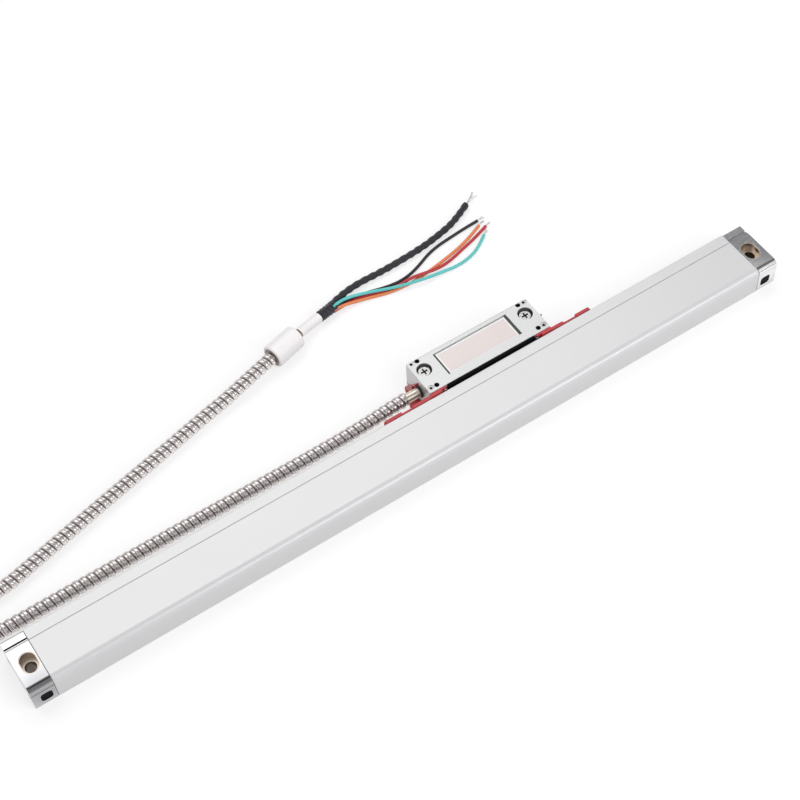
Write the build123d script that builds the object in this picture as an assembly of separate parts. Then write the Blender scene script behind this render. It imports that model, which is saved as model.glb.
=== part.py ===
from build123d import *
import os
from math import cos, pi, radians, sin, tan

# Sealed linear glass scale: a slitted aluminium case holds a glass ruler, and a reader head slides along
# its open side. All sizes are in millimetres. X runs along the case, Z is up from the table that the
# scale lies on, and Y is measured from the front face of the case towards the reader, until the last
# step sets every piece about the middle of the whole footprint.

# Case, overall
overall_length = 542.0
case_depth = 38.4
case_height = 20.5
case_wall = 2.2
front_round = 4.6
small_round = 0.8
trim_groove_from_back = 8.4
trim_groove_width = 0.6
trim_groove_deep = 0.6
back_strip_drop = 0.2

# Slit and its rubber lips on the reader side
slit_height = 4.0
slit_middle_z = 10.4
back_wall = 5.0
lip_channel_deep = 2.6
lip_channel_wide = 2.4
lip_channel_cover = 1.2
lip_thick = 0.9
lip_gap = 2.2
lip_clear = 0.1

# End caps, gaskets and their screws
cap_length = 14.5
gasket_thick = 0.4
gasket_inset = 0.6
cap_groove_from_back = 6.9
cap_groove_width = 1.2
cap_groove_deep = 1.0
cap_ramp_width = 1.4
cap_ramp_drop = 0.5
cap_back_round = 1.6
cap_seam_deep = 0.35
cap_seam_width = 0.6
screw_port_z = 4.6
screw_port_front_y = 5.6
screw_port_from_back = 5.4
screw_port_boss_r = 2.8
cap_screw_r = 1.5
cap_screw_head_r = 2.7
cap_screw_head_high = 2.0
cap_screw_reach = 12.0
hex_recess_r = 1.4
hex_recess_deep = 1.1

# Mounting hole in each cap: a slotted counterbore with a liner, over a round clearance hole
mount_inset = 8.5
mount_y = 17.2
counterbore_wide = 9.8
counterbore_long = 13.4
counterbore_deep = 6.2
liner_wall = 0.5
mount_hole_r = 3.7
port_wide = 7.4
port_high = 7.6
port_round = 2.1
port_z = 7.7
port_deep = 2.2
port_plug_recess = 0.5

# Glass ruler and its seat
glass_low_z = 11.6
glass_thick = 3.0
glass_back_room = 14.8
glass_end_gap = 2.0
seat_rib_long = 4.0
seat_rib_thick = 1.4
clamp_cord_high = 1.4
clamp_cord_wide = 2.4

# Reader head
reader_rest_x = 72.3
reader_length = 92.0
reader_depth = 27.9
reader_gap = 2.7
reader_bottom = 0.5
reader_top = 22.0
reader_corner_r = 1.2
reader_back_chamfer = 1.6
base_plate_thick = 2.5
reader_gasket_thick = 0.6
reader_wall = 3.2
reader_roof = 3.6
end_block_long = 15.5
label_length = 56.0
label_width = 18.6
label_deep = 1.6
label_from_front = 5.4
nameplate_thick = 0.5
nameplate_margin = 0.4
bolt_pitch_x = 77.6
bolt_y_from_front = 17.2
bolt_counterbore_r = 5.0
bolt_counterbore_deep = 5.2
bolt_hole_r = 2.8
bolt_head_r = 4.4
bolt_head_high = 3.2
bolt_shank_r = 2.5
cross_recess_long = 4.6
cross_recess_wide = 0.9
cross_recess_deep = 1.4
tapped_pitch_x = 77.8
tapped_pitch_y = 22.2
tapped_front_inset = 3.1
tapped_hole_r = 1.65
tapped_hole_deep = 9.0
corner_pitch_x = 86.4
corner_pitch_y = 22.2
corner_screw_r = 1.25
corner_head_r = 2.1
corner_head_high = 1.6
corner_head_sunk = 0.3
front_seal_end_gap = 0.3
front_seal_thick = 1.2
front_seal_low = 2.0
front_seal_top = 21.6
board_thick = 1.6
board_margin = 1.0
board_post_high = 3.0
board_post_inset = 3.0
board_post_r = 1.5
chip_long = 8.0
chip_wide = 5.0
chip_high = 1.4
chip_pitch = 15.0
chip_inset = 4.0

# Blade through the lips, and the spring wire that draws the carriage
blade_thick = 1.6
blade_end_rim = 1.2
blade_point = 9.0
blade_wall_gap = 2.4
blade_in_reader = 6.0
blade_lug_x = 19.0
blade_lug_wide = 3.0
wire_from_blade = 1.3
wire_r = 0.5
wire_clear = 0.05
wire_end_over = 1.0

# Scanning carriage that runs on the glass
carriage_length = 58.0
carriage_front_clear = 1.0
carriage_back_clear = 2.3
carriage_low_z = 3.4
carriage_plate = 1.8
carriage_corner_r = 2.0
window_inset = 14.5
window_long = 5.0
window_front_rim = 2.1
window_back_rim = 6.9
column_half = 8.0
column_glass_gap = 1.3
column_back_clear = 2.0
arm_low_z = 15.1
arm_high_z = 17.8
arm_front_step = 0.2
scan_pad_long = 18.0
scan_pad_front_rim = 1.1
scan_pad_lug_gap = 0.45
scan_board_thick = 0.7
grating_thick = 1.0
grating_gap = 0.2
lamp_r = 3.0
lens_r = 2.6
lens_thick = 0.9
bearing_r = 3.0
bearing_width = 2.0
bearing_bore_r = 1.06
bearing_pin_r = 1.0
bearing_running_gap = 0.1
bearing_side_gap = 0.25
lug_thick = 1.1
lug_half = 2.2
face_bearing_inset = 5.0
face_bearing_from_front = 4.6
face_bearing_under_edge = 1.3
edge_bearing_inset = 7.0
post_half = 2.6
pin_head_r = 1.6
pin_head_high = 0.4

# Cable outlet on the reader's left end
outlet_from_front = 11.4
outlet_z = 11.3
gland_nut_across = 7.6
gland_nut_long = 1.5
ferrule_r = 3.25
ferrule_out = 10.7
ferrule_in = 3.0

# Transport brackets in the gap at both ends of the reader
bracket_case_gap = 0.35
bracket_top = 20.3
bracket_inner_top = 21.4
bracket_low = 3.0
bracket_inside = 10.8
bracket_thick = 2.1
bracket_neck_thick = 1.1
bracket_tab_thick = 2.0
bracket_tab_low = 6.0
bracket_left_reaches = (14.5, 21.9, 34.5)
bracket_right_reaches = (10.2, 19.1, 30.4)
shelf_thick = 1.8
shelf_low = 0.6
shelf_front_out = 9.4
shelf_back_out = 3.2
shelf_back_inset = 3.2
shelf_corner_out = 8.0
flange_thick = 3.0
flange_front_offset = 1.5
flange_top_z = 18.7
flange_knee_offset = 9.8
flange_knee_z = 7.6
flange_hole_r = 5.3
bracket_screw_z = 18.4
bracket_screw_head_r = 1.7
bracket_screw_head_high = 0.9
bracket_screw_r = 1.0
bracket_screw_deep = 5.0
bracket_land_thick = 1.2
bracket_land_long = 3.0

# Armoured hose, its end fitting, and the loose ends of the cable
hose_d = 9.6
hose_first_run = 7.0
hose_out_points = (
    (-14.0, 52.3, 8.4),
    (-46.0, 52.8, 6.0),
    (-92.0, 53.6, 4.9),
    (-151.0, 54.1, 4.9),
    (-212.0, 53.6, 4.9),
    (-274.0, 53.3, 4.9),
    (-335.0, 53.4, 5.1),
    (-388.2, 53.5, 5.9),
)
hose_back_points = (
    (-323.5, 144.6, 15.5),
    (-318.6, 114.1, 13.4),
    (-295.8, 86.6, 8.4),
    (-261.0, 76.0, 4.9),
    (-222.0, 85.8, 4.9),
    (-176.0, 97.3, 4.9),
    (-132.0, 107.6, 4.9),
    (-98.0, 116.3, 4.9),
    (-76.0, 120.8, 5.3),
    (-56.5, 124.9, 8.05),
    (-35.5, 130.6, 8.05),
)
coil_middle = (-388.2, 120.9)
coil_inner_r = 33.8
coil_outer_r = 72.2
coil_layers = 2
coil_lift = 1.1
tie_thick = 0.8
tie_wide = 8.0
tie_clear = 0.3
tie_angles = (100.0, 200.0)
fitting_r = 8.0
fitting_length = 22.6
fitting_mouth_r = 4.6
fitting_mouth_deep = 4.0
fitting_chamfer = 0.8
jacket_d = 6.6
jacket_points = (
    (-10.6, 137.4, 8.0),
    (-2.7, 140.6, 5.6),
    (7.5, 143.0, 4.95),
)
sleeve_r = 4.0
sleeve_length = 14.4
black_wire_d = 5.0
thin_wire_d = 2.2
thick_black_points = (
    (18.2, 147.1, 4.65),
    (31.0, 152.0, 3.2),
    (46.0, 155.2, 2.55),
    (62.0, 154.5, 2.55),
    (80.0, 154.6, 2.55),
    (97.0, 155.4, 2.55),
    (113.0, 158.2, 2.55),
    (128.0, 162.0, 2.55),
    (142.7, 169.8, 2.55),
)
turquoise_points = (
    (19.0, 144.0, 6.65),
    (26.0, 146.6, 5.6),
    (35.0, 147.5, 4.0),
    (47.4, 144.8, 3.6),
    (60.5, 139.6, 3.2),
    (73.0, 136.0, 3.6),
    (84.5, 133.2, 3.2),
    (96.6, 131.6, 1.3),
    (108.0, 130.3, 1.15),
    (118.5, 131.5, 1.15),
    (128.5, 135.3, 1.15),
    (138.0, 142.2, 1.15),
)
orange_points = (
    (19.0, 142.9, 4.35),
    (26.0, 143.1, 3.7),
    (34.5, 142.1, 2.0),
    (46.0, 139.8, 1.15),
    (58.6, 136.2, 1.15),
    (72.7, 134.6, 1.15),
    (86.0, 136.0, 1.15),
    (99.7, 138.2, 1.15),
    (115.5, 141.7, 1.15),
    (129.7, 146.6, 1.15),
    (139.8, 151.4, 1.15),
)
red_points = (
    (19.0, 143.7, 1.9),
    (26.5, 144.7, 1.25),
    (35.0, 145.4, 1.15),
    (46.0, 144.5, 1.15),
    (57.0, 143.0, 1.15),
    (66.0, 141.0, 1.5),
    (76.0, 138.6, 3.4),
    (86.0, 136.0, 3.65),
    (97.0, 134.5, 2.2),
    (108.0, 136.4, 1.15),
    (119.0, 139.6, 1.15),
    (131.0, 142.7, 1.15),
    (143.4, 147.3, 1.15),
)
thin_black_points = (
    (19.0, 145.8, 1.15),
    (26.5, 147.1, 1.15),
    (35.0, 148.5, 1.15),
    (46.0, 147.7, 1.15),
    (57.0, 145.7, 1.15),
    (67.0, 143.6, 1.15),
    (76.5, 142.3, 1.15),
    (86.7, 144.4, 1.15),
    (97.2, 149.1, 1.15),
    (107.0, 151.5, 1.15),
    (118.3, 152.7, 1.15),
    (130.7, 153.9, 1.15),
    (141.5, 154.4, 1.15),
)
strand_d = 0.8
thin_strand_long = 4.5
thick_strand_long = 13.0

# Sizes that follow from those above
half_length = overall_length / 2
body_half = half_length - cap_length - gasket_thick
cap_inner_x = half_length - cap_length
trim_groove_y = case_depth - trim_groove_from_back
slit_low = slit_middle_z - slit_height / 2
slit_high = slit_middle_z + slit_height / 2
cavity_back_y = case_depth - back_wall
glass_front_y = case_wall
glass_back_y = case_depth - glass_back_room
glass_high_z = glass_low_z + glass_thick
screw_port_back_y = case_depth - screw_port_from_back
screw_port_ys = (screw_port_front_y, screw_port_back_y)
mount_x = half_length - mount_inset
reader_front_y = case_depth + reader_gap
reader_back_y = reader_front_y + reader_depth
reader_middle_y = (reader_front_y + reader_back_y) / 2
reader_half = reader_length / 2
housing_low = reader_bottom + base_plate_thick + reader_gasket_thick
cavity_half = reader_half - end_block_long
cavity_front_y = reader_front_y + reader_wall
cavity_reader_back_y = reader_back_y - reader_wall
bolt_y = reader_front_y + bolt_y_from_front
tapped_ys = (reader_front_y + tapped_front_inset, reader_front_y + tapped_front_inset + tapped_pitch_y)
corner_ys = tapped_ys
label_front_y = reader_front_y + label_from_front
label_middle_y = label_front_y + label_width / 2
bracket_screw_x = reader_half - bracket_inside
front_seal_half = bracket_screw_x - bracket_screw_head_r - front_seal_end_gap
blade_half = front_seal_half - blade_end_rim
blade_low = slit_middle_z - blade_thick / 2
blade_high = slit_middle_z + blade_thick / 2
blade_inner_y = cavity_back_y - blade_wall_gap
wire_y = blade_inner_y - wire_from_blade
carriage_half = carriage_length / 2
carriage_floor_z = carriage_low_z + carriage_plate
carriage_front_y = screw_port_front_y + screw_port_boss_r + carriage_front_clear
carriage_back_y = screw_port_back_y - screw_port_boss_r - carriage_back_clear
column_front_y = glass_back_y + column_glass_gap
column_back_y = screw_port_back_y - screw_port_boss_r - column_back_clear
arm_front_y = carriage_front_y + arm_front_step
face_bearing_x = carriage_half - face_bearing_inset
face_bearing_front_y = carriage_front_y + face_bearing_from_front
face_bearing_back_y = glass_back_y - face_bearing_under_edge
face_bearing_places = (
    (-face_bearing_x, face_bearing_front_y),
    (face_bearing_x, face_bearing_front_y),
    (0.0, face_bearing_back_y),
)
edge_bearing_x = (edge_bearing_inset - carriage_half, carriage_half - edge_bearing_inset)
lug_reach = bearing_width / 2 + bearing_side_gap + lug_thick
scan_pad_front_y = carriage_front_y + scan_pad_front_rim
scan_pad_back_y = face_bearing_back_y - lug_reach - scan_pad_lug_gap
scan_pad_wide = scan_pad_back_y - scan_pad_front_y
scan_y = (scan_pad_front_y + scan_pad_back_y) / 2
face_bearing_z = glass_low_z - bearing_running_gap - bearing_r
edge_bearing_y = glass_back_y + bearing_running_gap + bearing_r
edge_bearing_z = (glass_low_z + glass_high_z) / 2
grating_top_z = glass_low_z - grating_gap
scan_board_low = grating_top_z - grating_thick - scan_board_thick
outlet_y = reader_front_y + outlet_from_front
reader_left_x = reader_rest_x - reader_half
ferrule_end_x = reader_left_x - ferrule_out
footprint_middle_y = reader_back_y / 2
shelf_back_y = reader_back_y - shelf_back_inset
flange_front_y = outlet_y + flange_front_offset
flange_knee_y = outlet_y + flange_knee_offset


def block(x0, x1, y0, y1, z0, z1):
    """A box between its two corners."""
    return Pos((x0 + x1) / 2, (y0 + y1) / 2, (z0 + z1) / 2) * Box(abs(x1 - x0), abs(y1 - y0), abs(z1 - z0))


def rod_x(x0, x1, y, z, r):
    """A round bar along X."""
    return Pos((x0 + x1) / 2, y, z) * Rot(0, 90, 0) * Cylinder(r, abs(x1 - x0))


def rod_y(y0, y1, x, z, r):
    """A round bar along Y."""
    return Pos(x, (y0 + y1) / 2, z) * Rot(90, 0, 0) * Cylinder(r, abs(y1 - y0))


def rod_z(z0, z1, x, y, r):
    """A round bar along Z."""
    return Pos(x, y, (z0 + z1) / 2) * Cylinder(r, abs(z1 - z0))


def slot_z(z0, z1, x, y, wide, long):
    """A slotted bar along Z with round ends, long in Y."""
    straight = long - wide
    middle = block(x - wide / 2, x + wide / 2, y - straight / 2, y + straight / 2, z0, z1)
    ends = [rod_z(z0, z1, x, y + side * straight / 2, wide / 2) for side in (-1, 1)]
    return middle + ends[0] + ends[1]


def prism_x(points, x0, x1):
    """An outline in Y and Z, drawn out along X."""
    face = Plane.YZ * make_face(Polyline(*points, close=True))
    return Pos(min(x0, x1), 0, 0) * extrude(face, amount=abs(x1 - x0), dir=(1, 0, 0))


def prism_z(points, z0, z1):
    """An outline in X and Y, drawn up along Z."""
    return Pos(0, 0, z0) * extrude(make_face(Polyline(*points, close=True)), amount=z1 - z0, dir=(0, 0, 1))


def hex_bar(z0, z1, r):
    """A six-sided bar along Z, r from its middle to a corner."""
    return Pos(0, 0, z0) * extrude(RegularPolygon(r, 6), amount=z1 - z0)


def tube(points, diameter):
    """A bent round bar along straight runs joined by the largest arcs that the runs allow."""
    corners = [Vector(*p) for p in points]
    runs = [b - a for a, b in zip(corners, corners[1:])]
    radii = []
    for before, after in zip(runs, runs[1:]):
        half_turn = radians(before.get_angle(after)) / 2
        radii.append(0.45 * min(before.length, after.length) / tan(half_turn))
    path = FilletPolyline(*points, radius=radii)
    section = Plane(origin=points[0], z_dir=runs[0]) * Circle(diameter / 2)
    bar = sweep(section, path=path)
    share = bar.volume / (pi * diameter**2 / 4 * path.length)
    print("tube", diameter, "length", round(path.length, 1), "volume share", round(share, 4))
    print("  radii", [round(r) for r in radii])
    return bar


def case_outline():
    """The outside of the case in Y and Z, with its trim groove and lower back strip."""
    strip_z = case_height - back_strip_drop
    groove_end = trim_groove_y + trim_groove_width
    edges = (
        (0, 0),
        (case_depth, 0),
        (case_depth, strip_z),
        (groove_end, strip_z),
        (groove_end, case_height - trim_groove_deep),
        (trim_groove_y, case_height - trim_groove_deep),
        (trim_groove_y, case_height),
        (0, case_height),
    )
    outline = make_face(Polyline(*edges, close=True))
    front_top = outline.vertices().sort_by(Axis.X).group_by(Axis.X)[0].sort_by(Axis.Y)[-1]
    outline = fillet(front_top, front_round)
    corners = [v for v in outline.vertices() if v.X > case_depth - 0.01 or (v.X < 0.01 and v.Y < 0.01)]
    return fillet(corners, small_round)


def rectangle(y0, y1, z0, z1):
    """A flat rectangle in Y and Z."""
    return Pos((y0 + y1) / 2, (z0 + z1) / 2) * Rectangle(y1 - y0, z1 - z0)


def lip_channels():
    """The two channels that hold the roots of the rubber lips, one on each side of the slit."""
    channel_back = case_depth - lip_channel_cover
    channel_front = channel_back - lip_channel_wide
    upper = rectangle(channel_front, channel_back, slit_high, slit_high + lip_channel_deep)
    lower = rectangle(channel_front, channel_back, slit_low - lip_channel_deep, slit_low)
    return upper + lower


def scale_case():
    """The extruded case: a hollow section, open on the reader side through the slit."""
    cavity = rectangle(case_wall, cavity_back_y, case_wall, case_height - case_wall)
    slit = rectangle(cavity_back_y - 1, case_depth + 1, slit_low, slit_high)
    section = case_outline() - cavity - slit
    rib_end = case_wall + seat_rib_long
    lower_rib = rectangle(case_wall - 0.5, rib_end, glass_low_z - seat_rib_thick, glass_low_z)
    upper_low = glass_high_z + clamp_cord_high
    upper_rib = rectangle(case_wall - 0.5, rib_end, upper_low, upper_low + seat_rib_thick)
    section = section + lower_rib + upper_rib
    for y in screw_port_ys:
        boss = Pos(y, screw_port_z) * Circle(screw_port_boss_r)
        section = section + (boss & rectangle(0.5, case_depth - 0.5, 0.5, case_height - 0.5))
    for y in screw_port_ys:
        section = section - Pos(y, screw_port_z) * Circle(cap_screw_r)
    section = section - lip_channels()
    body = extrude(Plane.YZ * section, amount=2 * body_half, dir=(1, 0, 0))
    return Pos(-body_half, 0, 0) * body


def lip_seal(side):
    """One rubber lip: a square root in its channel, and a thin lip that slants out to the blade."""
    edge = slit_middle_z + side * slit_height / 2
    tip = slit_middle_z + side * lip_gap / 2
    root_back = case_depth - lip_channel_cover - lip_clear
    root_front = root_back - lip_channel_wide + 2 * lip_clear
    root_end = edge + side * (lip_channel_deep - lip_clear)
    tip_y = case_depth - 0.3
    outline = (
        (root_front, root_end),
        (root_back, root_end),
        (root_back, edge - side * 0.2),
        (tip_y, tip + side * lip_thick / 2),
        (tip_y - 0.4, tip),
        (root_back - lip_thick, edge - side * lip_thick),
        (root_front, edge - side * 0.2),
    )
    return prism_x(outline, -body_half, body_half)


def glass_scale():
    """The glass ruler, seated on the lower rib against the front wall."""
    end = body_half - glass_end_gap
    return block(-end, end, glass_front_y, glass_back_y, glass_low_z, glass_high_z)


def glass_clamp_cord():
    """The rubber cord pressed in between the glass and the upper rib."""
    end = body_half - glass_end_gap
    y0 = case_wall + (seat_rib_long - clamp_cord_wide) / 2
    return block(-end, end, y0, y0 + clamp_cord_wide, glass_high_z, glass_high_z + clamp_cord_high)


def cap_outline():
    """The outside of an end cap in Y and Z: rounded front, a ramp and a groove near the back."""
    groove_y = case_depth - cap_groove_from_back
    low_top = case_height - cap_ramp_drop
    seam_z = case_height - front_round - cap_seam_width
    edges = (
        (0, 0),
        (case_depth, 0),
        (case_depth, low_top),
        (groove_y + cap_groove_width, low_top),
        (groove_y + cap_groove_width, low_top - cap_groove_deep),
        (groove_y, low_top - cap_groove_deep),
        (groove_y, low_top),
        (groove_y - cap_ramp_width / 2, low_top),
        (groove_y - cap_ramp_width * 1.5, case_height),
        (0, case_height),
        (0, seam_z),
        (cap_seam_deep, seam_z),
        (cap_seam_deep, seam_z - cap_seam_width),
        (0, seam_z - cap_seam_width),
    )
    outline = make_face(Polyline(*edges, close=True))
    front_top = outline.vertices().group_by(Axis.Y)[-1].sort_by(Axis.X)[0]
    outline = fillet(front_top, front_round)
    back_top = outline.vertices().group_by(Axis.X)[-1].sort_by(Axis.Y)[-1]
    outline = fillet(back_top, cap_back_round)
    bottom = outline.vertices().group_by(Axis.Y)[0]
    return fillet(bottom, small_round)


def port_pocket(x, y0, y1, shrink=0.0):
    """The rounded oblong of the front port, from y0 to y1."""
    oblong = RectangleRounded(port_wide - 2 * shrink, port_high - 2 * shrink, port_round - shrink)
    return Pos(x, y0, port_z) * (Rot(-90, 0, 0) * extrude(oblong, amount=y1 - y0))


def end_cap(side):
    """One cast end cap with its slotted counterbored mounting hole, front port and screw holes."""
    face = Plane.YZ * cap_outline()
    start = cap_inner_x if side > 0 else -half_length
    cap = Pos(start, 0, 0) * extrude(face, amount=cap_length, dir=(1, 0, 0))
    x = side * mount_x
    floor_z = case_height - counterbore_deep
    wide = counterbore_wide + 2 * liner_wall
    long = counterbore_long + 2 * liner_wall
    cap -= slot_z(floor_z, case_height + 1, x, mount_y, wide, long)
    cap -= rod_z(-1, floor_z + 1, x, mount_y, mount_hole_r)
    cap -= port_pocket(x, -1, port_deep)
    for y in screw_port_ys:
        cap -= rod_x(side * (cap_inner_x - 1), side * (half_length + 1), y, screw_port_z, cap_screw_r)
        head_x = half_length - cap_screw_head_high
        cap -= rod_x(side * head_x, side * (half_length + 1), y, screw_port_z, cap_screw_head_r)
    return cap


def end_gasket(side):
    """The thin gasket between case and cap, with holes for the two screws."""
    inset = gasket_inset
    gasket = block(
        side * body_half, side * cap_inner_x,
        inset, case_depth - inset,
        inset, case_height - inset - trim_groove_deep,
    )
    corner = rectangle(0, front_round, case_height - front_round, case_height + 1)
    corner -= Pos(front_round, case_height - front_round) * Circle(front_round - inset)
    cut = Pos(-half_length, 0, 0) * extrude(Plane.YZ * corner, amount=2 * half_length, dir=(1, 0, 0))
    gasket -= cut
    for y in screw_port_ys:
        gasket -= rod_x(side * (body_half - 1), side * (cap_inner_x + 1), y, screw_port_z, cap_screw_r)
    return gasket


def cap_screw(side, y):
    """One socket-head screw along X, its head sunk flush with the end of the cap."""
    head_in = half_length - cap_screw_head_high
    tip = body_half - cap_screw_reach
    screw = rod_x(side * tip, side * head_in, y, screw_port_z, cap_screw_r)
    screw += rod_x(side * head_in, side * (half_length - 0.1), y, screw_port_z, cap_screw_head_r)
    socket = Rot(0, 90 * side, 0) * hex_bar(-hex_recess_deep, 1, hex_recess_r)
    return screw - Pos(side * (half_length - 0.1), y, screw_port_z) * socket


def mount_liner(side):
    """The thin liner pressed into the counterbore of a cap."""
    x = side * mount_x
    floor_z = case_height - counterbore_deep
    outer = slot_z(
        floor_z, case_height - 0.3, x, mount_y,
        counterbore_wide + 2 * liner_wall, counterbore_long + 2 * liner_wall,
    )
    inner = slot_z(floor_z + liner_wall, case_height + 1, x, mount_y, counterbore_wide, counterbore_long)
    hole = rod_z(floor_z - 1, case_height, x, mount_y, mount_hole_r)
    return outer - inner - hole


def port_plug(side):
    """The black plug that closes the front port."""
    return port_pocket(side * mount_x, port_plug_recess, port_deep)


def reader_housing():
    """The reader's cast body: solid end blocks, a chamber between them open below, and a label recess."""
    body = block(
        -reader_half, reader_half, reader_front_y, reader_back_y, housing_low, reader_top,
    )
    body = fillet(body.edges().filter_by(Axis.Z), reader_corner_r)
    body -= prism_x(
        (
            (reader_back_y - reader_back_chamfer, reader_top + 1),
            (reader_back_y - reader_back_chamfer, reader_top),
            (reader_back_y, reader_top - reader_back_chamfer),
            (reader_back_y + 1, reader_top - reader_back_chamfer),
            (reader_back_y + 1, reader_top + 1),
        ),
        -reader_half - 1, reader_half + 1,
    )
    chamber_top = reader_top - reader_roof
    body -= block(
        -cavity_half, cavity_half, cavity_front_y, cavity_reader_back_y, housing_low - 1, chamber_top,
    )
    body -= block(
        -label_length / 2, label_length / 2,
        label_front_y, label_front_y + label_width,
        reader_top - label_deep, reader_top + 1,
    )
    body -= block(
        -blade_half, blade_half,
        reader_front_y - 1, reader_front_y + blade_in_reader,
        blade_low, blade_high,
    )
    for x in (-bolt_pitch_x / 2, bolt_pitch_x / 2):
        body -= rod_z(reader_top - bolt_counterbore_deep, reader_top + 1, x, bolt_y, bolt_counterbore_r)
        body -= rod_z(housing_low - 1, reader_top, x, bolt_y, bolt_hole_r)
    for x in (-tapped_pitch_x / 2, tapped_pitch_x / 2):
        for y in tapped_ys:
            body -= rod_z(reader_top - tapped_hole_deep, reader_top + 1, x, y, tapped_hole_r)
    for x in (-corner_pitch_x / 2, corner_pitch_x / 2):
        for y in corner_ys:
            head_low = reader_top - corner_head_sunk - corner_head_high
            body -= rod_z(head_low, reader_top + 1, x, y, corner_head_r)
            body -= rod_z(housing_low - 1, reader_top, x, y, corner_screw_r)
    body -= rod_x(-reader_half - 1, -reader_half + ferrule_in, outlet_y, outlet_z, ferrule_r)
    wire_way_r = ferrule_r - 1
    body -= rod_x(-reader_half - 1, -cavity_half + 1, outlet_y, outlet_z, wire_way_r)
    for x in bracket_screw_places():
        body -= rod_y(
            reader_front_y - 1, reader_front_y + bracket_screw_deep, x, bracket_screw_z, bracket_screw_r,
        )
    return body


def nameplate():
    """The bare metal plate in the label recess."""
    floor_z = reader_top - label_deep
    x = label_length / 2 - nameplate_margin
    y0 = label_front_y + nameplate_margin
    y1 = label_front_y + label_width - nameplate_margin
    return block(-x, x, y0, y1, floor_z, floor_z + nameplate_thick)


def reader_base_plate():
    """The plate under the reader, with holes for the two bolts and the four corner screws."""
    plate = block(
        -reader_half, reader_half,
        reader_front_y, reader_back_y,
        reader_bottom, reader_bottom + base_plate_thick,
    )
    plate = fillet(plate.edges().filter_by(Axis.Z), reader_corner_r)
    for x in (-bolt_pitch_x / 2, bolt_pitch_x / 2):
        plate -= rod_z(0, housing_low, x, bolt_y, bolt_hole_r)
    for x in (-corner_pitch_x / 2, corner_pitch_x / 2):
        for y in corner_ys:
            plate -= rod_z(0, housing_low, x, y, corner_screw_r)
    return plate


def reader_gasket():
    """The gasket frame between the base plate and the housing."""
    low = reader_bottom + base_plate_thick
    gasket = block(-reader_half, reader_half, reader_front_y, reader_back_y, low, housing_low)
    gasket = fillet(gasket.edges().filter_by(Axis.Z), reader_corner_r)
    gasket -= block(
        -cavity_half, cavity_half, cavity_front_y, cavity_reader_back_y, low - 1, housing_low + 1,
    )
    for x in (-bolt_pitch_x / 2, bolt_pitch_x / 2):
        gasket -= rod_z(low - 1, housing_low + 1, x, bolt_y, bolt_hole_r)
    for x in (-corner_pitch_x / 2, corner_pitch_x / 2):
        for y in corner_ys:
            gasket -= rod_z(low - 1, housing_low + 1, x, y, corner_screw_r)
    return gasket


def reader_front_seal():
    """The black sealing plate on the reader's front, slotted for the blade."""
    seal = block(
        -front_seal_half, front_seal_half,
        reader_front_y - front_seal_thick, reader_front_y,
        front_seal_low, front_seal_top,
    )
    return seal - block(
        -blade_half, blade_half,
        reader_front_y - front_seal_thick - 1, reader_front_y + 1,
        blade_low, blade_high,
    )


def cross_cut(z, x, y):
    """A cross-shaped driver recess cut down from z."""
    long, wide, low = cross_recess_long, cross_recess_wide, z - cross_recess_deep
    one = block(x - long / 2, x + long / 2, y - wide / 2, y + wide / 2, low, z + 1)
    other = block(x - wide / 2, x + wide / 2, y - long / 2, y + long / 2, low, z + 1)
    return one + other


def reader_bolts():
    """The two cross-recessed bolts that fix the reader to its bracket on the machine."""
    bolts = []
    seat_z = reader_top - bolt_counterbore_deep
    for x in (-bolt_pitch_x / 2, bolt_pitch_x / 2):
        head = rod_z(seat_z, seat_z + bolt_head_high, x, bolt_y, bolt_head_r)
        head = fillet(head.edges().group_by(Axis.Z)[-1], 0.9)
        bolt = head + rod_z(reader_bottom, seat_z + 0.5, x, bolt_y, bolt_shank_r)
        bolts.append(bolt - cross_cut(seat_z + bolt_head_high, x, bolt_y))
    return bolts


def reader_corner_screws():
    """The four small screws that hold the housing to its base plate."""
    screws = []
    seat_z = reader_top - corner_head_sunk - corner_head_high
    for x in (-corner_pitch_x / 2, corner_pitch_x / 2):
        for y in corner_ys:
            head = rod_z(seat_z, seat_z + corner_head_high, x, y, corner_head_r)
            shank = rod_z(reader_bottom + 0.2, seat_z + 0.5, x, y, corner_screw_r)
            cut = Pos(x, y, seat_z + corner_head_high) * hex_bar(-0.8, 1, 1.1)
            screws.append(head + shank - cut)
    return screws


def preamp_board():
    """The circuit board in the reader's chamber, on four posts that stand on the base plate."""
    low = reader_bottom + base_plate_thick + board_post_high
    x = cavity_half - board_margin
    y0 = cavity_front_y + blade_in_reader - reader_wall + board_margin
    y1 = cavity_reader_back_y - board_margin
    board = block(-x, x, y0, y1, low, low + board_thick)
    top = low + board_thick
    for step in (-1, 0, 1):
        chip_x = step * chip_pitch - chip_long / 2
        chip_y = y0 + chip_inset
        board += block(chip_x, chip_x + chip_long, chip_y, chip_y + chip_wide, top, top + chip_high)
    for post_x in (board_post_inset - x, x - board_post_inset):
        for post_y in (y0 + board_post_inset, y1 - board_post_inset):
            board += rod_z(low - board_post_high, low + 0.2, post_x, post_y, board_post_r)
    return board


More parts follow.
